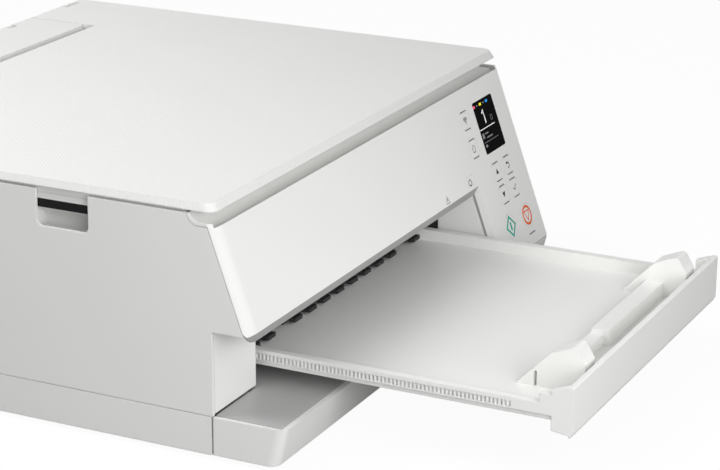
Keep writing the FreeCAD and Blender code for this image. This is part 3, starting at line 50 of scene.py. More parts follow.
Colour = tuple[float, float, float]
Span = tuple[float, float]
Place = tuple[float, float, float]
Outline = tuple[tuple[float, float], ...]
Circle = tuple[float, float, float]
Bar = tuple[float, float, float, float]

SHELL_WHITE: Colour = (236, 236, 234)
FRONT_WHITE: Colour = (238, 238, 236)
FULL_WHITE = (1.0, 1.0, 1.0, 1.0)
FULL_TURN = 360.0
TRIANGLE = 3


def linear(level: float) -> float:
    """Linear light of one display level from 0 to 255, by the sRGB curve."""
    share = level / 255.0
    return share / 12.92 if share <= 0.04045 else ((share + 0.055) / 1.055) ** 2.4


def shade(red: float, green: float, blue: float) -> tuple[float, float, float, float]:
    """Shader colour of a display colour.

    Args:
        red: Red level from 0 to 255.
        green: Green level from 0 to 255.
        blue: Blue level from 0 to 255.

    Returns:
        The linear colour with full alpha.
    """
    return linear(red), linear(green), linear(blue), 1.0


def placed(axes: list[Vector], origin: Vector) -> Matrix:
    """Matrix that takes a drawing or a camera to its place.

    Args:
        axes: Where its X, Y and Z axes point.
        origin: Where its origin lies.

    Returns:
        The matrix in the model's frame.
    """
    rows = [[*(axis[i] for axis in axes), origin[i]] for i in range(3)]
    return Matrix((*rows, (0.0, 0.0, 0.0, 1.0)))


def into_scene(name: str, data: bpy.types.ID) -> bpy.types.Object:
    """Makes an object and links it into the scene.

    Args:
        name: The object's name.
        data: Its mesh, lamp or camera.

    Returns:
        The object.
    """
    made = bpy.data.objects.new(name, data)
    bpy.context.scene.collection.objects.link(made)
    return made


def finished_mesh(bm: bmesh.types.BMesh, name: str) -> bpy.types.Mesh:
    """Turns a bmesh into a mesh and frees it.

    Args:
        bm: The modelled shape.
        name: The mesh's name.

    Returns:
        The mesh.
    """
    mesh = bpy.data.meshes.new(name)
    bm.to_mesh(mesh)
    bm.free()
    return mesh


class NodeSheet:
    """Small helper that adds and joins the nodes of one tree."""

    def __init__(self, tree: bpy.types.NodeTree) -> None:
        """Keeps the node tree of a material, a world or a group."""
        self.tree = tree

    @classmethod
    def emptied(cls, owner: bpy.types.ID) -> "NodeSheet":
        """Empties the nodes of a material or a world.

        Args:
            owner: The material or the world.

        Returns:
            The helper for its nodes.
        """
        owner.use_nodes = True
        owner.node_tree.nodes.clear()
        return cls(owner.node_tree)

    def add(self, kind: str, **settings: object) -> bpy.types.Node:
        """Adds a node.

        Args:
            kind: The node's type name without its ShaderNode prefix.
            settings: Properties set on the node.

        Returns:
            The new node.
        """
        prefix = "" if kind.startswith("NodeGroup") else "ShaderNode"
        node = self.tree.nodes.new(prefix + kind)
        for name, value in settings.items():
            setattr(node, name, value)
        return node

    def join(self, source: bpy.types.NodeSocket, target: bpy.types.NodeSocket) -> None:
        """Links an output to an input."""
        self.tree.links.new(source, target)

    def give(self, socket: bpy.types.NodeSocket, value: object) -> None:
        """Links an input, or sets a plain value on it.

        Args:
            socket: The input.
            value: The output to link, or the value.
        """
        if isinstance(value, bpy.types.NodeSocket):
            self.join(value, socket)
        else:
            socket.default_value = value

    def feed(self, node: bpy.types.Node, **inputs: object) -> bpy.types.Node:
        """Sets or links a node's inputs by name, with _ for a blank.

        Args:
            node: The node to feed.
            inputs: A socket to link, or a value to set.

        Returns:
            The same node.
        """
        for name, value in inputs.items():
            self.give(node.inputs[name.replace("_", " ")], value)
        return node

    def maths(self, operation: str, first: object, second: object = 0.0) -> bpy.types.NodeSocket:
        """Adds a Math node.

        Args:
            operation: Its operation.
            first: A socket or a number.
            second: A socket or a number.

        Returns:
            Its output.
        """
        node = self.add("Math", operation=operation)
        for socket, value in zip(node.inputs, (first, second)):
            self.give(socket, value)
        return node.outputs[0]

    def weighed(self, first: bpy.types.NodeSocket, second: bpy.types.NodeSocket,
                share: float) -> bpy.types.NodeSocket:
        """Adds two values by their shares.

        Args:
            first: One value.
            second: The other value.
            share: The first one's share. The second one has the rest.

        Returns:
            The sum.
        """
        return self.maths("ADD", self.maths("MULTIPLY", first, share),
                          self.maths("MULTIPLY", second, 1.0 - share))

    def parts(self, vector: bpy.types.NodeSocket) -> bpy.types.NodeOutputs:
        """Splits a vector.

        Args:
            vector: The vector's socket.

        Returns:
            Its X, Y and Z.
        """
        split = self.add("SeparateXYZ")
        self.join(vector, split.inputs[0])
        return split.outputs

    def blend(self, share: bpy.types.NodeSocket, first: bpy.types.Node,
              second: bpy.types.Node) -> bpy.types.NodeSocket:
        """Mixes two shaders.

        Args:
            share: The second shader's share.
            first: One shader.
            second: The other shader.

        Returns:
            The mixed shader.
        """
        mix = self.add("MixShader")
        for socket, source in zip(mix.inputs, (share, first.outputs[0], second.outputs[0])):
            self.join(source, socket)
        return mix.outputs[0]


class SurfaceGroup:
    """A shader node group that several finishes share."""

    name = "surface_group"
    inputs: tuple[tuple[str, str, float], ...] = ()
    outputs: tuple[tuple[str, str], ...] = ()

    def tree(self) -> bpy.types.NodeTree:
        """Gives the group, and builds it the first time.

        Returns:
            The group's nodes.
        """
        found = bpy.data.node_groups.get(self.name)
        if found:
            return found
        made = bpy.data.node_groups.new(self.name, "ShaderNodeTree")
        for name, kind, value in self.inputs:
            socket = made.interface.new_socket(name, in_out="INPUT", socket_type=kind)
            if kind == "NodeSocketFloat":
                socket.default_value = value
        for name, kind in self.outputs:
            made.interface.new_socket(name, in_out="OUTPUT", socket_type=kind)
        sheet = NodeSheet(made)
        self.draw(sheet, sheet.add("NodeGroupInput").outputs, sheet.add("NodeGroupOutput"))
        return made

    def draw(self, sheet: NodeSheet, given: bpy.types.NodeOutputs, out: bpy.types.Node) -> None:
        """Adds the group's own nodes."""
        raise NotImplementedError

    def place(self, sheet: NodeSheet, **inputs: object) -> bpy.types.Node:
        """Adds the group to a material.

        Args:
            sheet: The material's nodes.
            inputs: Values and sockets for the group's inputs.

        Returns:
            The group node.
        """
        node = sheet.add("Group", node_tree=self.tree())
        return sheet.feed(node, **inputs)


class MouldedGrain(SurfaceGroup):
    """Spark-eroded grain of a moulded surface, with a slow change of tone across the piece."""

    name = "moulded_grain"
    inputs = (("Vector", "NodeSocketVector", 0.0), ("Grains", "NodeSocketFloat", 1500.0),
              ("Patches", "NodeSocketFloat", 12.0))
    outputs = (("Height", "NodeSocketFloat"), ("Tone", "NodeSocketFloat"))
    fine_share = 0.35

    def draw(self, sheet: NodeSheet, given: bpy.types.NodeOutputs, out: bpy.types.Node) -> None:
        """Adds a fine and a coarse noise.

        Args:
            sheet: The group's nodes.
            given: The group's inputs.
            out: The node that takes the group's outputs.
        """
        fine = sheet.feed(sheet.add("TexNoise"), Vector=given["Vector"], Scale=given["Grains"],
                          Detail=2.0, Roughness=0.6)
        slow = sheet.feed(sheet.add("TexNoise"), Vector=given["Vector"], Scale=given["Patches"],
                          Detail=3.0, Roughness=0.5)
        tone = sheet.weighed(fine.outputs[0], slow.outputs[0], self.fine_share)
        sheet.feed(out, Height=fine.outputs[0], Tone=tone)


class DotRows(SurfaceGroup):
    """Rows of small raised dots, set on the diagonal.

    A dot rises from its rim to its crown, whose distances from its middle are shares of a row.
    """

    name = "dot_rows"
    inputs = (("Vector", "NodeSocketVector", 0.0), ("Rows", "NodeSocketFloat", 600.0))
    outputs = (("Height", "NodeSocketFloat"),)
    diagonal = math.radians(45.0)
    rim = 0.42
    crown = 0.12

    def draw(self, sheet: NodeSheet, given: bpy.types.NodeOutputs, out: bpy.types.Node) -> None:
        """Turns the plane, splits it into cells and draws a dome in each.

        Args:
            sheet: The group's nodes.
            given: The group's inputs.
            out: The node that takes the group's output.
        """
        turned = sheet.add("VectorRotate", rotation_type="Z_AXIS")
        sheet.feed(turned, Vector=given["Vector"], Angle=self.diagonal)
        spot = sheet.parts(turned.outputs[0])
        offsets = []
        for axis in ("X", "Y"):
            row = sheet.maths("FRACT", sheet.maths("MULTIPLY", spot[axis], given["Rows"]))
            offsets.append(sheet.maths("POWER", sheet.maths("SUBTRACT", row, 0.5), 2.0))
        distance = sheet.maths("SQRT", sheet.maths("ADD", *offsets))
        dome = sheet.add("MapRange", interpolation_type="SMOOTHSTEP")
        sheet.feed(dome, Value=distance, From_Min=self.rim, From_Max=self.crown, To_Min=0.0, To_Max=1.0)
        sheet.feed(out, Height=dome.outputs["Result"])


class DrawnLines(SurfaceGroup):
    """Long fine lines of rolled or ground metal."""

    name = "drawn_lines"
    inputs = (("Vector", "NodeSocketVector", 0.0), ("Lines", "NodeSocketFloat", 900.0))
    outputs = (("Height", "NodeSocketFloat"), ("Tone", "NodeSocketFloat"))
    stretch = (0.02, 1.0, 1.0)
    patches = 40.0
    line_share = 0.6

    def draw(self, sheet: NodeSheet, given: bpy.types.NodeOutputs, out: bpy.types.Node) -> None:
        """Adds a noise that is stretched along X.

        Args:
            sheet: The group's nodes.
            given: The group's inputs.
            out: The node that takes the group's outputs.
        """
        drawn = sheet.feed(sheet.add("Mapping"), Vector=given["Vector"], Scale=self.stretch)
        lines = sheet.feed(sheet.add("TexNoise"), Vector=drawn.outputs[0], Scale=given["Lines"],
                           Detail=3.0, Roughness=0.65)
        slow = sheet.feed(sheet.add("TexNoise"), Vector=given["Vector"], Scale=self.patches, Detail=2.0)
        tone = sheet.weighed(lines.outputs[0], slow.outputs[0], self.line_share)
        sheet.feed(out, Height=lines.outputs[0], Tone=tone)


@dataclass(frozen=True)
class Finish:
    """One surface: its colour, how much that colour varies, its gloss and its relief.

    Relief and edge radius are in metres, and grains are counted per metre.
    """

    name: str
    colour: Colour
    roughness: float
    grains: float = 1600.0
    relief: float = 0.00001
    mottle: float = 0.02
    roughness_spread: float = 0.05
    edge: float = 0.0008
    edge_samples: int = 4
    metallic: float = 0.0
    mirror: float = 0.3

    def material(self) -> bpy.types.Material:
        """Gives the material, and builds it the first time."""
        found = bpy.data.materials.get(self.name)
        return found or self.build()

    def build(self) -> bpy.types.Material:
        """Builds the material.

        Returns:
            A material with one Principled shader.
        """
        made = bpy.data.materials.new(self.name)
        sheet = NodeSheet.emptied(made)
        place = sheet.add("TexCoord").outputs["Object"]
        shader = sheet.add("BsdfPrincipled")
        sheet.feed(shader, Metallic=self.metallic, Specular_IOR_Level=self.mirror)
        self.dress(sheet, place, shader)
        sheet.join(shader.outputs[0], sheet.add("OutputMaterial").inputs[0])
        return made

    def dress(self, sheet: NodeSheet, place: bpy.types.NodeSocket, shader: bpy.types.Node) -> None:
        """Feeds the shader's colour, roughness and normal.

        Args:
            sheet: The material's nodes.
            place: Object coordinates.
            shader: The Principled shader.
        """
        grain = MouldedGrain().place(sheet, Vector=place, Grains=self.grains)
        self.tint(sheet, grain.outputs["Tone"], shader)
        self.emboss(sheet, grain.outputs["Height"], shader)

    def tint(self, sheet: NodeSheet, tone: bpy.types.NodeSocket, shader: bpy.types.Node) -> None:
        """Varies colour and roughness with a tone from 0 to 1.

        Args:
            sheet: The material's nodes.
            tone: The tone that changes over the surface.
            shader: The Principled shader.
        """
        base = shade(*self.colour)[:3]
        darker = (*(c * (1 - self.mottle) for c in base), 1.0)
        lighter = (*(min(1.0, c * (1 + self.mottle)) for c in base), 1.0)
        mix = sheet.feed(sheet.add("Mix", data_type="RGBA"), Factor=tone, A=darker, B=lighter)
        gloss = sheet.feed(sheet.add("MapRange"), Value=tone, To_Min=self.roughness - self.roughness_spread,
                           To_Max=self.roughness + self.roughness_spread)
        sheet.feed(shader, Base_Color=mix.outputs["Result"], Roughness=gloss.outputs["Result"])

    def emboss(self, sheet: NodeSheet, height: bpy.types.NodeSocket, shader: bpy.types.Node) -> None:
        """Bends the normal by the relief, over edges softened as a mould softens them.

        Args:
            sheet: The material's nodes.
            height: The relief from 0 to 1.
            shader: The Principled shader.
        """
        bump = sheet.feed(sheet.add("Bump"), Strength=1.0, Distance=self.relief, Height=height)
        if self.edge:
            soft = sheet.feed(sheet.add("Bevel", samples=self.edge_samples), Radius=self.edge)
            sheet.feed(bump, Normal=soft.outputs[0])
        sheet.feed(shader, Normal=bump.outputs[0])


@dataclass(frozen=True)
class DottedFinish(Finish):
    """Moulded surface with rows of fine dots."""

    rows: float = 560.0
    dot_relief: float = 0.00008

    def dress(self, sheet: NodeSheet, place: bpy.types.NodeSocket, shader: bpy.types.Node) -> None:
        """Adds the dots to the grain.

        Args:
            sheet: The material's nodes.
            place: Object coordinates.
            shader: The Principled shader.
        """
        grain = MouldedGrain().place(sheet, Vector=place, Grains=self.grains)
        dots = DotRows().place(sheet, Vector=place, Rows=self.rows)
        self.tint(sheet, grain.outputs["Tone"], shader)
        share = self.dot_relief / self.relief
        height = sheet.maths("ADD", grain.outputs["Height"],
                             sheet.maths("MULTIPLY", dots.outputs["Height"], share))
        self.emboss(sheet, height, shader)


@dataclass(frozen=True)
class MetalFinish(Finish):
    """Rolled or ground metal."""

    metallic: float = 1.0

    def dress(self, sheet: NodeSheet, place: bpy.types.NodeSocket, shader: bpy.types.Node) -> None:
        """Draws the lines along X.

        Args:
            sheet: The material's nodes.
            place: Object coordinates.
            shader: The Principled shader.
        """
        lines = DrawnLines().place(sheet, Vector=place, Lines=self.grains)
        self.tint(sheet, lines.outputs["Tone"], shader)
        self.emboss(sheet, lines.outputs["Height"], shader)


@dataclass(frozen=True)
class LitFinish(Finish):
    """Printed or lit mark with sharp edges, which glows where it is lit."""

    edge: float = 0.0
    glow: float = 0.0

    def dress(self, sheet: NodeSheet, place: bpy.types.NodeSocket, shader: bpy.types.Node) -> None:
        """Adds the glow to the plain finish."""
        super().dress(sheet, place, shader)
        sheet.feed(shader, Emission_Color=shade(*self.colour), Emission_Strength=self.glow)


@dataclass(frozen=True)
class ClearFinish(Finish):
    """Clear glass with sharp edges and a faint film on its surface."""

    edge: float = 0.0
    refraction: float = 1.5

    def dress(self, sheet: NodeSheet, place: bpy.types.NodeSocket, shader: bpy.types.Node) -> None:
        """Lets light through and varies the film."""
        super().dress(sheet, place, shader)
        sheet.feed(shader, Transmission_Weight=1.0, IOR=self.refraction)


@dataclass(frozen=True)
class PaintedShadeFinish(Finish):
    """Moulded surface with painted shade: a second, darker colour laid over a part of it."""

    # Colour of the painted shade that the subclasses lay over a part of the surface.
    second: Colour = (22, 22, 23)

    def where(self, sheet: NodeSheet, place: bpy.types.NodeSocket) -> bpy.types.NodeSocket:
        """Gives a mask that is 1 where the shade is painted."""
        raise NotImplementedError

    def dress(self, sheet: NodeSheet, place: bpy.types.NodeSocket, shader: bpy.types.Node) -> None:
        """Lays the painted shade's colour over the plain finish.

        Args:
            sheet: The material's nodes.
            place: Object coordinates.
            shader: The Principled shader.
        """
        super().dress(sheet, place, shader)
        plain = shader.inputs["Base Color"].links[0].from_socket
        over = sheet.add("Mix", data_type="RGBA")
        sheet.feed(over, Factor=self.where(sheet, place), A=plain, B=shade(*self.second))
        sheet.feed(shader, Base_Color=over.outputs["Result"])


@dataclass(frozen=True)
class PaintedGapShadeFinish(PaintedShadeFinish):
    """Scanner tub with a dark band painted in its finger notches: painted shade in place of the gap under
    its rim.

    The painted band lies further out than skin on both sides. That and its spans along and up are in
    metres.
    """

    skin: float = 0.182
    along: Span = (0.0068, 0.0422)
    rise: Span = (0.1272, 0.1322)

    def where(self, sheet: NodeSheet, place: bpy.types.NodeSocket) -> bpy.types.NodeSocket:
        """Mask of the painted gap shade on both outer sides.

        Args:
            sheet: The material's nodes.
            place: Object coordinates.

        Returns:
            A value that is 1 where the gap's shade is painted.
        """
        spot = sheet.parts(place)
        mask = sheet.maths("GREATER_THAN", sheet.maths("ABSOLUTE", spot["X"]), self.skin)
        for axis, (low, high) in (("Y", self.along), ("Z", self.rise)):
            mask = sheet.maths("MULTIPLY", mask, sheet.maths("GREATER_THAN", spot[axis], low))
            mask = sheet.maths("MULTIPLY", mask, sheet.maths("LESS_THAN", spot[axis], high))
        return mask


@dataclass(frozen=True)
class PaintedLipShadeFinish(PaintedShadeFinish):
    """Panel with painted shade: its lower lip, and its wall beside the paper opening, are painted darker
    than its front, as the shade that falls there.

    The faces are told apart by their normals. Under is the limit downwards, and chamfer and sideways are
    the limits to the left.
    """

    # Grey of the painted shade on the lip and the wall.
    second: Colour = (160, 160, 159)
    under: float = -0.15
    chamfer: float = -0.5
    chamfer_share: float = 0.4
    sideways: float = -0.95

    def where(self, sheet: NodeSheet, place: bpy.types.NodeSocket) -> bpy.types.NodeSocket:
        """Mask of the painted shade: faces that look down, and those on the right that look to the left.

        Args:
            sheet: The material's nodes.
            place: Object coordinates.

        Returns:
            A value that is 1 where shade is painted on the lip and the wall, and less on the wall's
            chamfer.
        """
        facing = sheet.parts(sheet.add("NewGeometry").outputs["True Normal"])
        spot = sheet.parts(place)
        slanted = sheet.maths("LESS_THAN", facing["X"], self.chamfer)
        slanted = sheet.maths("MULTIPLY", slanted, self.chamfer_share)
        wall = sheet.maths("MAXIMUM", slanted, sheet.maths("LESS_THAN", facing["X"], self.sideways))
        wall = sheet.maths("MULTIPLY", wall, sheet.maths("GREATER_THAN", spot["X"], 0.0))
        return sheet.maths("MAXIMUM", sheet.maths("LESS_THAN", facing["Z"], self.under), wall)


class Palette(Enum):
    """Every finish of the printer."""

    SHELL = Finish("shell_white", SHELL_WHITE, 0.42, relief=0.000006)
    LID = DottedFinish("lid_white_dotted", FRONT_WHITE, 0.36, relief=0.000006, mirror=0.6)
    # Scanner tub: white, with painted shade for the gap in each finger notch.
    TUB = PaintedGapShadeFinish("tub_white_painted_gap_shade", SHELL_WHITE, 0.42, relief=0.000006)
    # Operation panel: white, with painted shade on its lower lip and on its wall beside the paper opening.
    PANEL = PaintedLipShadeFinish("panel_white_painted_shade", FRONT_WHITE, 0.34, relief=0.000003, edge=0.0003)
    KEY = Finish("key_white_caps", FRONT_WHITE, 0.34, relief=0.000003, edge=0.0)
    TRAY = Finish("tray_white", FRONT_WHITE, 0.36, relief=0.000004)
    CASSETTE_LID = Finish("cassette_grey_satin", (184, 184, 184), 0.38, relief=0.000008)
    CHARCOAL = Finish("charcoal_inner", (52, 52, 53), 0.5, mottle=0.06)
    BLACK_WINDOW = Finish("display_gloss_black", (8, 8, 9), 0.16, relief=0.0000003, mirror=0.06)
    GLASS = ClearFinish("clear_glass_sheet", (236, 246, 242), 0.06, relief=0.0000002)
    FOAM = Finish("foam_white_film", (240, 240, 238), 0.6, grains=700.0, relief=0.00006)
    STEEL = MetalFinish("sheet_steel_rolled", (196, 198, 200), 0.34, mottle=0.08)
    MOTOR = MetalFinish("motor_case_plated", (150, 151, 154), 0.4, mottle=0.08)
    RUBBER = Finish("roller_rubber_black", (38, 38, 39), 0.72, relief=0.00002, mottle=0.1)
    ACETAL = Finish("gear_natural_acetal", (232, 229, 218), 0.4)
    INK = Finish("ink_tank_black", (30, 30, 32), 0.25, relief=0.000004, mottle=0.06)
    BOARD = Finish("board_green_mask", (20, 92, 56), 0.3, grains=420.0, relief=0.00003, mottle=0.35)
    SOCKET = Finish("socket_black_moulding", (28, 28, 29), 0.45)
    FELT = Finish("felt_white_fibre", (228, 227, 222), 0.9, grains=900.0, relief=0.0002, mottle=0.08)
    # Dark grey of the printed signs, also laid on the key dashes as painted shade of their ridges.
    SIGN = LitFinish("print_and_ridge_shade_dark_grey", (56, 56, 57), 0.5)
    PALE_SIGN = LitFinish("sign_pale_grey", (150, 150, 150), 0.5)
    START = LitFinish("sign_start_teal", (30, 178, 156), 0.45)
    STOP = LitFinish("sign_stop_orange", (244, 110, 42), 0.45)
    LIT_WHITE = LitFinish("display_lit_white", (225, 226, 228), 0.3, glow=0.55)
    LIT_GREY = LitFinish("display_lit_grey", (120, 121, 124), 0.3, glow=0.4)
    LIT_PINK = LitFinish("display_lit_pink", (226, 92, 128), 0.3, glow=0.55)
    LIT_YELLOW = LitFinish("display_lit_yellow", (238, 226, 40), 0.3, glow=0.55)
    LIT_BLUE = LitFinish("display_lit_blue", (40, 140, 214), 0.3, glow=0.55)


SMALL_KEYS = ("wireless_key", "home_key", "up_key", "down_key", "back_key", "ok_key")
ROUND_KEYS = ("start_key", "stop_key")

NODE_FINISHES: dict[Palette, tuple[str, ...]] = {
    Palette.SHELL: ("base", "side_cover_left", "side_cover_right", "rear_cover", "front_frame", "cassette",
                    "scanner_bezel", "rear_tray_cover"),
    Palette.TUB: ("scanner_tub",),
    Palette.LID: ("document_cover",),
    Palette.PANEL: ("operation_panel",),
    Palette.KEY: (*SMALL_KEYS, *ROUND_KEYS, "power_key"),
    Palette.TRAY: ("output_tray",),
    Palette.CASSETTE_LID: ("cassette_cover",),
    Palette.CHARCOAL: ("outlet_duct", "platen", "rear_chute", "rear_guide_left", "rear_guide_right",
                       "duplex_cover", "print_carriage", "purge_unit", "cassette_guide_left",
                       "cassette_guide_right", "scan_bar"),
    Palette.BLACK_WINDOW: ("display_window",),
    Palette.GLASS: ("platen_glass",),
    Palette.FOAM: ("document_pad",),
    Palette.STEEL: ("engine_frame", "carriage_rail", "hinge_pins", "scan_rod", "spur_wheels"),
    Palette.MOTOR: ("carriage_motor", "feed_motor", "tray_motor", "power_supply"),
    Palette.RUBBER: ("feed_roller", "eject_roller", "drive_belt", "feet"),
    Palette.ACETAL: ("idler_gear", "motor_pinion", "tray_pinion", "drive_pulley", "idler_pulley"),
    Palette.INK: ("ink_tanks",),
    Palette.BOARD: ("control_board", "main_board"),
    Palette.SOCKET: ("power_inlet", "usb_port"),
    Palette.FELT: ("ink_absorber",),
}


def dress_nodes() -> None:
    """Gives every CAD node its finish."""
    for finish, names in NODE_FINISHES.items():
        for name in names:
            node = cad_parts[name]
            node.data.materials.clear()
            node.data.materials.append(finish.value.material())
            LOG.info("%s is dressed in %s", name, finish.value.name)


def new_piece(name: str, mesh: bpy.types.Mesh, finish: Palette, body: str) -> bpy.types.Object:
    """Puts a finished mesh into the scene.

    Args:
        name: The piece's name.
        mesh: Its mesh, in place.
        finish: Its finish.
        body: The body that it rides on.

    Returns:
        The piece.
    """
    mesh.materials.append(finish.value.material())
    piece = into_scene(name, mesh)
    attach(piece, body)
    LOG.info("%s rides on %s", name, body)
    return piece


class Sketch:
    """Flat marks drawn in millimetres on a plane, and raised from it by a thin film."""

    film = 0.05
    arc_step = 12.0

    def __init__(self) -> None:
        """Starts an empty drawing."""
        self.bm = bmesh.new()

    def bar(self, x: float, y: float, across: float, high: float) -> "Sketch":
        """Adds a bar.

        Args:
            x: Its middle across.
            y: Its middle up.
            across: Its length.
            high: Its height.

        Returns:
            The drawing.
        """
        size = Matrix.Diagonal((across, high, self.film, 1.0))
        bmesh.ops.create_cube(self.bm, size=1.0, matrix=Matrix.Translation((x, y, self.film / 2)) @ size)
        return self

    def disc(self, x: float, y: float, radius: float, corners: int = 28, turn: float = 0.0) -> "Sketch":
        """Adds a filled disc, or a regular figure with few corners.

        Args:
            x: Its middle across.
            y: Its middle up.
            radius: Its radius to the corners.
            corners: How many corners it has, the first one upwards.
            turn: Its turn to the left in degrees.

        Returns:
            The drawing.
        """
        matrix = Matrix.Translation((x, y, self.film / 2)) @ Matrix.Rotation(math.radians(turn), 4, "Z")
        bmesh.ops.create_cone(self.bm, cap_ends=True, segments=corners, radius1=radius, radius2=radius,
                              depth=self.film, matrix=matrix)
        return self

    def stroke(self, path: Outline, width: float, closed: bool = False, scale: float = 1.0) -> "Sketch":
        """Adds a pen stroke.

        Args:
            path: The pen's path.
            width: The stroke's width.
            closed: Whether the path returns to its start.
            scale: The length of one unit of the path.

        Returns:
            The drawing.
        """
        curve = bpy.data.curves.new("stroke", "CURVE")
        curve.dimensions = "3D"
        curve.bevel_depth = width / 2
        curve.bevel_resolution = 1
        curve.use_fill_caps = True
        spline = curve.splines.new("POLY")
        spline.points.add(len(path) - 1)
        for point, (x, y) in zip(spline.points, path):
            point.co = (x * scale, y * scale, 0.0, 1.0)
        spline.use_cyclic_u = closed
        holder = bpy.data.objects.new("stroke", curve)
        mesh = bpy.data.meshes.new_from_object(holder)
        mesh.transform(Matrix.Diagonal((1.0, 1.0, 2 * self.film / width, 1.0)))
        self.bm.from_mesh(mesh)
        bpy.data.objects.remove(holder)
        bpy.data.curves.remove(curve)
        bpy.data.meshes.remove(mesh)
        return self

    def arc(self, x: float, y: float, radius: float, span: Span, width: float) -> "Sketch":
        """Adds an arc.

        Args:
            x: Its middle across.
            y: Its middle up.
            radius: Its radius.
            span: Its start and end, in degrees to the left from +X.
            width: The stroke's width.

        Returns:
            The drawing.
        """
        start, sweep = span[0], span[1] - span[0]
        closed = sweep >= FULL_TURN
        steps = max(2, math.ceil(sweep / self.arc_step))
        count = steps if closed else steps + 1
        angles = [math.radians(start + sweep * i / steps) for i in range(count)]
        path = tuple((x + radius * math.cos(a), y + radius * math.sin(a)) for a in angles)
        return self.stroke(path, width, closed)

    def mesh(self, name: str, place: Matrix) -> bpy.types.Mesh:
        """Ends the drawing.

        Args:
            name: The mesh's name.
            place: From the drawing's plane, in millimetres, to the model's frame.

        Returns:
            The mesh in place.
        """
        bmesh.ops.transform(self.bm, matrix=place, verts=self.bm.verts)
        bmesh.ops.recalc_face_normals(self.bm, faces=self.bm.faces)
        return finished_mesh(self.bm, name)


@dataclass
class PanelFace:
    """The sloping face of the operation panel, which the signs lie on.

    Its tilt is in degrees, and the signs stand proud of it by a gap in millimetres.
    """

    tilt: float = 19.7
    proud: float = 0.01

    def axes(self) -> tuple[Vector, Vector, Vector]:
        """Finds how the face lies.

        Returns:
            The directions across, up the slope and out of the face.
        """
        turn = math.radians(self.tilt)
        up = Vector((0.0, math.sin(turn), math.cos(turn)))
        out = Vector((0.0, -math.cos(turn), math.sin(turn)))
        return Vector((1.0, 0.0, 0.0)), up, out

    def on(self, node: str, across: float = 0.0, up: float = 0.0) -> Matrix:
        """Plane on the front of a node, in millimetres.

        Args:
            node: The node that carries the drawing.
            across: Shift to the right of the node's middle.
            up: Shift up the slope from the node's middle.

        Returns:
            The matrix from the drawing to the model's frame.
        """
        right, rise, out = self.axes()
        spots = [v.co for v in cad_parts[node].data.vertices]
        spans = [[spot.dot(axis) for spot in spots] for axis in (right, rise, out)]
        x, y = ((min(s) + max(s)) / 2 for s in spans[:2])
        origin = (right * (x + across * MM) + rise * (y + up * MM)
                  + out * (max(spans[2]) + self.proud * MM))
        return placed([axis * MM for axis in (right, rise, out)], origin)


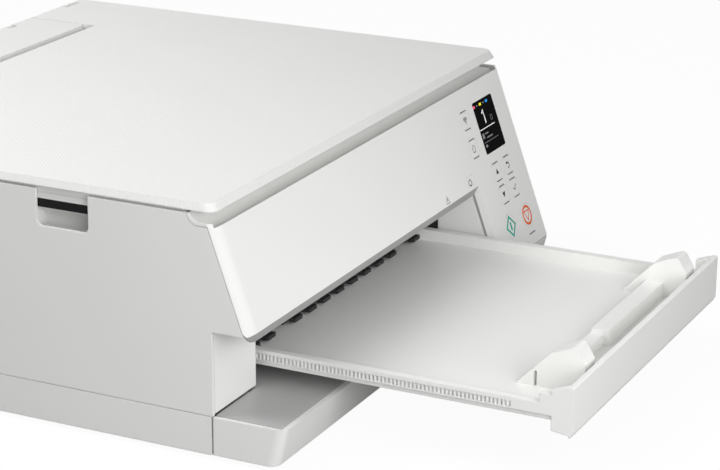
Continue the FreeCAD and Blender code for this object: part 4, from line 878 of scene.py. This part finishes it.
@dataclass
class KeySigns:
    """Signs on the keys, the dashes between them and the lamps beside the opening.

    Sizes are in millimetres and angles in degrees. Outlines, the rings of the wireless sign and what is
    called a share are counted in radii of their sign.
    """

    face: PanelFace
    pen: float = 0.65
    bold: float = 1.2
    sign_radius: float = 2.3
    wave_dot: float = 0.5
    wave_drop_share: float = 0.8
    wave_rings: tuple[float, ...] = (0.6, 1.1, 1.6)
    wave_span: Span = (45.0, 135.0)
    house: Outline = ((-1.0, 0.0), (0.0, 1.0), (1.0, 0.0), (0.7, 0.0), (0.7, -1.0), (-0.7, -1.0),
                      (-0.7, 0.0))
    triangle_shift: float = 0.3
    back_bend: Circle = (0.2, -0.2, 1.7)
    back_span: Span = (-120.0, 110.0)
    back_head: Circle = (-1.0, 1.4, 1.3)
    tick: Outline = ((-0.8, 0.0), (-0.2, -0.7), (1.0, 0.8))
    start_radius: float = 6.4
    start_pen: float = 2.1
    diamond: Outline = ((1.0, 0.0), (0.0, 1.0), (-1.0, 0.0), (0.0, -1.0))
    diamond_bar: Outline = ((0.0, 0.42), (0.0, -0.42))
    stop_radius: float = 5.8
    stop_pen: float = 1.6
    stop_figure: Outline = ((-0.62, 0.465), (0.62, 0.465), (0.0, -0.62))
    dash_length: float = 8.2
    dash_width: float = 0.55
    dash_reach: float = 5.9
    word_length: float = 9.0
    word_width: float = 1.1
    word_drop: float = 12.2
    power_radius: float = 2.0
    power_span: Span = (125.0, 415.0)
    power_stem: Outline = ((0.0, 0.3), (0.0, 1.25))
    power_drop: float = 0.9
    alarm: Outline = ((-1.0, -1.0), (1.0, -1.0), (0.0, 1.0))
    alarm_mark_drop: float = 0.2
    alarm_mark_share: float = 0.8
    alarm_shift: float = -35.4
    alarm_drop: float = 2.1

    def build(self) -> None:
        """Draws every sign."""
        self.small_signs()
        self.round_signs()
        self.dashes()
        self.lamps()

    def put(self, name: str, sketch: Sketch, key: str, finish: Palette = Palette.SIGN,
            up: float = 0.0) -> None:
        """Lays a drawing on a key."""
        new_piece(name, sketch.mesh(name, self.face.on(key, up=up)), finish, key)

    def small_signs(self) -> None:
        """Signs of the six small keys."""
        radius, pen, bold_pen = self.sign_radius, self.pen, self.pen * self.bold
        foot = -radius * self.wave_drop_share
        waves = Sketch().disc(0.0, foot, self.wave_dot)
        for ring in self.wave_rings:
            waves.arc(0.0, foot, ring * radius, self.wave_span, pen)
        self.put("wireless_sign", waves, "wireless_key")
        self.put("home_sign", Sketch().stroke(self.house, pen, closed=True, scale=radius), "home_key")
        up = Sketch().disc(0.0, -self.triangle_shift, radius, TRIANGLE)
        self.put("up_sign", up, "up_key")
        down = Sketch().disc(0.0, self.triangle_shift, radius, TRIANGLE, turn=180.0)
        self.put("down_sign", down, "down_key")
        back = Sketch().arc(*self.back_bend, self.back_span, bold_pen)
        self.put("back_sign", back.disc(*self.back_head, TRIANGLE, turn=90.0), "back_key")
        self.put("ok_sign", Sketch().stroke(self.tick, bold_pen, scale=radius), "ok_key")

    def round_signs(self) -> None:
        """Coloured signs of the start and stop keys."""
        radius, pen = self.start_radius, self.start_pen
        diamond = Sketch().stroke(self.diamond, pen, closed=True, scale=radius)
        diamond.stroke(self.diamond_bar, pen, scale=radius)
        self.put("start_sign", diamond, "start_key", Palette.START)
        radius, pen = self.stop_radius, self.stop_pen
        ring = Sketch().arc(0.0, 0.0, radius, (0.0, FULL_TURN), pen)
        ring.stroke(self.stop_figure, pen, closed=True, scale=radius)
        self.put("stop_sign", ring, "stop_key", Palette.STOP)

    def dashes(self) -> None:
        """Short dashes above and below the six small keys, drawn dark as painted shade of small raised
        ridges, and a plain bar under each round one.
        """
        # Each dash stands for a real raised ridge, drawn as a flat dark bar: its darkness is painted shade.
        for key in SMALL_KEYS:
            dash = Sketch()
            for side in (-1, 1):
                dash.bar(0.0, side * self.dash_reach, self.dash_length, self.dash_width)
            name = key.replace("_key", "_ridge_shade_dashes")
            new_piece(name, dash.mesh(name, self.face.on(key)), Palette.SIGN, "body")
        for key in ROUND_KEYS:
            bar = Sketch().bar(0.0, -self.word_drop, self.word_length, self.word_width)
            name = key.replace("_key", "_bar")
            new_piece(name, bar.mesh(name, self.face.on(key)), Palette.PALE_SIGN, "body")

    def lamps(self) -> None:
        """Power sign on its key, and the alarm sign beside it."""
        radius, pen = self.power_radius, self.pen
        power = Sketch().arc(0.0, 0.0, radius, self.power_span, pen)
        power.stroke(self.power_stem, pen, scale=radius)
        self.put("power_sign", power, "power_key", up=-self.power_drop)
        radius = self.sign_radius
        alarm = Sketch().stroke(self.alarm, pen, closed=True, scale=radius)
        alarm.bar(0.0, -self.alarm_mark_drop, pen, radius * self.alarm_mark_share)
        place = self.face.on("power_key", self.alarm_shift, -self.alarm_drop)
        new_piece("alarm_sign", alarm.mesh("alarm_sign", place), Palette.SIGN, "body")


@dataclass
class DisplayPage:
    """Plain lit page on the display: a row of level bars, a large numeral and a few lines.

    A bar is its place across and up from the window's middle, its length and its height. Grey levels are
    smaller than coloured ones, by their share. All sizes are in millimetres.
    """

    face: PanelFace
    level_start: float = -13.7
    level_up: float = 14.4
    level_pitch: float = 4.85
    level_length: float = 2.9
    level_height: float = 1.6
    grey_share: float = 0.55
    level_finishes: tuple[Palette, ...] = (Palette.LIT_PINK, Palette.LIT_GREY, Palette.LIT_YELLOW,
                                           Palette.LIT_GREY, Palette.LIT_BLUE)
    numeral: Outline = ((-5.3, 8.3), (-2.9, 10.4), (-3.0, 1.6))
    numeral_pen: float = 1.5
    page_sign: Outline = ((5.2, 1.7), (7.6, 1.7), (7.6, 4.7), (5.2, 4.7))
    page_pen: float = 0.5
    rule: Bar = (-3.3, -1.05, 23.0, 0.5)
    lines: tuple[Bar, ...] = ((-12.0, -5.3, 2.6, 3.4), (-6.6, -4.4, 5.0, 0.8), (-3.4, -7.2, 9.0, 0.8),
                              (-2.5, -9.7, 22.0, 0.3), (-11.4, -12.0, 2.6, 1.6))

    def put(self, name: str, sketch: Sketch, finish: Palette) -> None:
        """Lays a drawing on the display window."""
        new_piece(name, sketch.mesh(name, self.face.on("display_window")), finish, "body")

    def build(self) -> None:
        """Draws the page."""
        for i, finish in enumerate(self.level_finishes):
            x = self.level_start + i * self.level_pitch
            share = self.grey_share if finish is Palette.LIT_GREY else 1.0
            bar = Sketch().bar(x, self.level_up, self.level_length * share, self.level_height * share)
            self.put(f"display_level_{i + 1}", bar, finish)
        self.put("display_numeral", Sketch().stroke(self.numeral, self.numeral_pen), Palette.LIT_WHITE)
        page = Sketch().stroke(self.page_sign, self.page_pen, closed=True)
        self.put("display_page_sign", page, Palette.LIT_GREY)
        self.put("display_rule", Sketch().bar(*self.rule), Palette.LIT_WHITE)
        lines = Sketch()
        for line in self.lines:
            lines.bar(*line)
        self.put("display_lines", lines, Palette.LIT_GREY)


@dataclass(frozen=True)
class SoftBlock:
    """Foam or felt in place of its plain CAD solid: flat where it is held and crowned where it is free.

    The held side is 1 for the top and -1 for the bottom. The middle of each side is drawn in by pull, the
    free edge is rounded by round_over and the free face stands up by crown in its middle, all in metres.
    """

    node: str
    finish: Palette
    body: str
    slot: str
    fill: float
    held_side: int
    pull: float
    round_over: float
    crown: float
    cuts: int = 26

    def build(self) -> None:
        """Adds the piece and hides the CAD node."""
        low, high = (Vector(corner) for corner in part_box(self.node))
        middle, half = (low + high) / 2, (high - low) / 2
        bm = bmesh.new()
        bmesh.ops.create_cube(bm, size=2.0)
        bmesh.ops.subdivide_edges(bm, edges=bm.edges, cuts=self.cuts, use_grid_fill=True)
        for vert in bm.verts:
            vert.co = middle + self.shaped(vert.co, half)
        bmesh.ops.recalc_face_normals(bm, faces=bm.faces)
        for face in bm.faces:
            face.smooth = True
        name = self.node + "_soft"
        piece = new_piece(name, finished_mesh(bm, name), self.finish, self.body)
        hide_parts(self.node)

    def shaped(self, spot: Vector, half: Vector) -> Vector:
        """Moves a point of the cube that runs from -1 to 1 to its place on the soft form.

        Args:
            spot: The point on the cube.
            half: Half the size of the CAD solid.

        Returns:
            The point about the solid's middle.
        """
        u, v = (math.copysign(1.0 - (1.0 - abs(c)) ** 2, c) for c in spot.xy)
        x = u * (half.x - self.pull * (1.0 - v * v))
        y = v * (half.y - self.pull * (1.0 - u * u))
        inset = min((1.0 - abs(u)) * half.x, (1.0 - abs(v)) * half.y, self.round_over)
        corner = 1.0 - inset / self.round_over
        drop = self.round_over * (1.0 - math.sqrt(1.0 - corner * corner))
        drop += self.crown * (1.0 - (1.0 - u ** 4) * (1.0 - v ** 4))
        free = (1.0 - spot.z * self.held_side) / 2
        return Vector((x, y, self.held_side * (half.z - free * (2.0 * half.z - drop))))


SOFT_BLOCKS = (
    SoftBlock("document_pad", Palette.FOAM, "document_cover", "foam_white", fill=0.95, held_side=1,
              pull=0.0006, round_over=0.0012, crown=0.0003),
    SoftBlock("ink_absorber", Palette.FELT, "body", "felt_white", fill=0.85, held_side=-1,
              pull=0.0012, round_over=0.0035, crown=0.001),
)


@dataclass
class Viewpoint:
    """Camera at the photograph's viewing angle, in metres and degrees, with its lens in millimetres."""

    place: Place = (-1.20205, -0.65772, 0.52437)
    azimuth: float = -63.668
    elevation: float = 18.657
    roll: float = 0.194
    lens: float = 118.54
    sensor: float = 36.0
    clip_start: float = 0.05

    def build(self) -> None:
        """Adds the camera and makes it the scene's own."""
        around, rise, roll = (math.radians(a) for a in (self.azimuth, self.elevation, self.roll))
        back = Vector((math.sin(around) * math.cos(rise), -math.cos(around) * math.cos(rise),
                       math.sin(rise)))
        right = (-back).cross(Vector((0.0, 0.0, 1.0))).normalized()
        down = (-back).cross(right)
        turned_right = right * math.cos(roll) - down * math.sin(roll)
        turned_down = right * math.sin(roll) + down * math.cos(roll)
        data = bpy.data.cameras.new("photo_camera")
        data.sensor_width = self.sensor
        data.sensor_fit = "HORIZONTAL"
        data.lens = self.lens
        data.clip_start = self.clip_start
        data.dof.use_dof = False
        camera = into_scene("photo_camera", data)
        camera.matrix_world = placed([turned_right, -turned_down, back], Vector(self.place))
        bpy.context.scene.camera = camera


@dataclass(frozen=True)
class Softbox:
    """A square area lamp that looks at a point, and that gloss doesn't mirror."""

    name: str
    place: Place
    size: float
    power: float
    aim: Place = (0.0, -0.05, 0.08)

    def build(self) -> None:
        """Adds the lamp."""
        data = bpy.data.lights.new(self.name, "AREA")
        data.shape = "SQUARE"
        data.size = self.size
        data.energy = self.power
        lamp = into_scene(self.name, data)
        look = Vector(self.aim) - Vector(self.place)
        turn = look.to_track_quat("-Z", "Y")
        lamp.matrix_world = Matrix.Translation(self.place) @ turn.to_matrix().to_4x4()
        lamp.visible_camera = False
        lamp.visible_glossy = False


@dataclass
class Studio:
    """Pale floor, white surroundings and soft lamps.

    What is mirrored is a grey card in front of the object, which fades to a white one behind it.
    """

    floor_size: float = 8.0
    floor_tone: Colour = (150, 150, 150)
    floor_glow: float = 1.12
    glow_share: float = 0.85
    ambient: float = 0.39
    grey_card: float = 0.15
    white_card: float = 1.0
    card_fade: Span = (0.25, 0.6)
    lamps: tuple[Softbox, ...] = (
        Softbox("front_softbox", (-0.35, -0.8, 0.45), size=0.5, power=2.75),
        Softbox("left_softbox", (-0.75, -0.75, 0.3), size=0.5, power=3.4),
        Softbox("back_left_softbox", (-0.4, 0.5, 0.85), size=0.4, power=2.5),
        Softbox("back_softbox", (-0.35, 0.5, 1.15), size=0.6, power=4.2),
    )

    def build(self) -> None:
        """Adds the floor, the world and the lamps."""
        bpy.context.scene.view_settings.view_transform = "Standard"
        self.floor()
        self.surroundings()
        for lamp in self.lamps:
            lamp.build()

    def seen(self, sheet: NodeSheet) -> bpy.types.NodeSocket:
        """Mask of the rays that show a background: straight ones and those through glass."""
        path = sheet.add("LightPath")
        return sheet.maths("MAXIMUM", path.outputs["Is Camera Ray"], path.outputs["Is Transmission Ray"])

    def cards(self, sheet: NodeSheet) -> bpy.types.NodeSocket:
        """Gives mirrored rays the two cards, and other rays the ambient light.

        Args:
            sheet: The world's nodes.

        Returns:
            The strength of the surroundings.
        """
        away = sheet.parts(sheet.add("TexCoord").outputs["Generated"])["Y"]
        front, behind = self.card_fade
        fade = sheet.add("MapRange", interpolation_type="SMOOTHSTEP")
        sheet.feed(fade, Value=away, From_Min=front, From_Max=behind, To_Min=self.grey_card,
                   To_Max=self.white_card)
        mirrored = sheet.add("LightPath").outputs["Is Glossy Ray"]
        level = sheet.add("Mix", data_type="FLOAT")
        sheet.feed(level, Factor=mirrored, A=self.ambient, B=fade.outputs["Result"])
        return level.outputs["Result"]

    def floor(self) -> None:
        """Large plain floor that keeps a faint shadow."""
        bm = bmesh.new()
        bmesh.ops.create_grid(bm, x_segments=1, y_segments=1, size=self.floor_size / 2)
        material = bpy.data.materials.new("floor_pale")
        sheet = NodeSheet.emptied(material)
        plain = sheet.feed(sheet.add("BsdfDiffuse"), Color=shade(*self.floor_tone))
        bright = sheet.feed(sheet.add("Emission"), Strength=self.floor_glow)
        share = sheet.maths("MULTIPLY", self.seen(sheet), self.glow_share)
        sheet.join(sheet.blend(share, plain, bright), sheet.add("OutputMaterial").inputs[0])
        floor = into_scene("floor", finished_mesh(bm, "floor"))
        floor.data.materials.append(material)

    def surroundings(self) -> None:
        """World that looks white and lights the object at a plain level."""
        world = bpy.data.worlds.new("studio")
        sheet = NodeSheet.emptied(world)
        soft = sheet.feed(sheet.add("Background"), Color=FULL_WHITE, Strength=self.cards(sheet))
        white = sheet.feed(sheet.add("Background"), Color=FULL_WHITE, Strength=1.0)
        sheet.join(sheet.blend(self.seen(sheet), soft, white), sheet.add("OutputWorld").inputs[0])
        bpy.context.scene.world = world


def main() -> None:
    """Dresses the printer, adds its signs and sets up the studio."""
    logging.basicConfig(level=logging.INFO, format="%(message)s")
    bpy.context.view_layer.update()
    dress_nodes()
    face = PanelFace()
    KeySigns(face).build()
    DisplayPage(face).build()
    for block in SOFT_BLOCKS:
        block.build()
    Studio().build()
    Viewpoint().build()


if __name__ == "__main__":
    main()
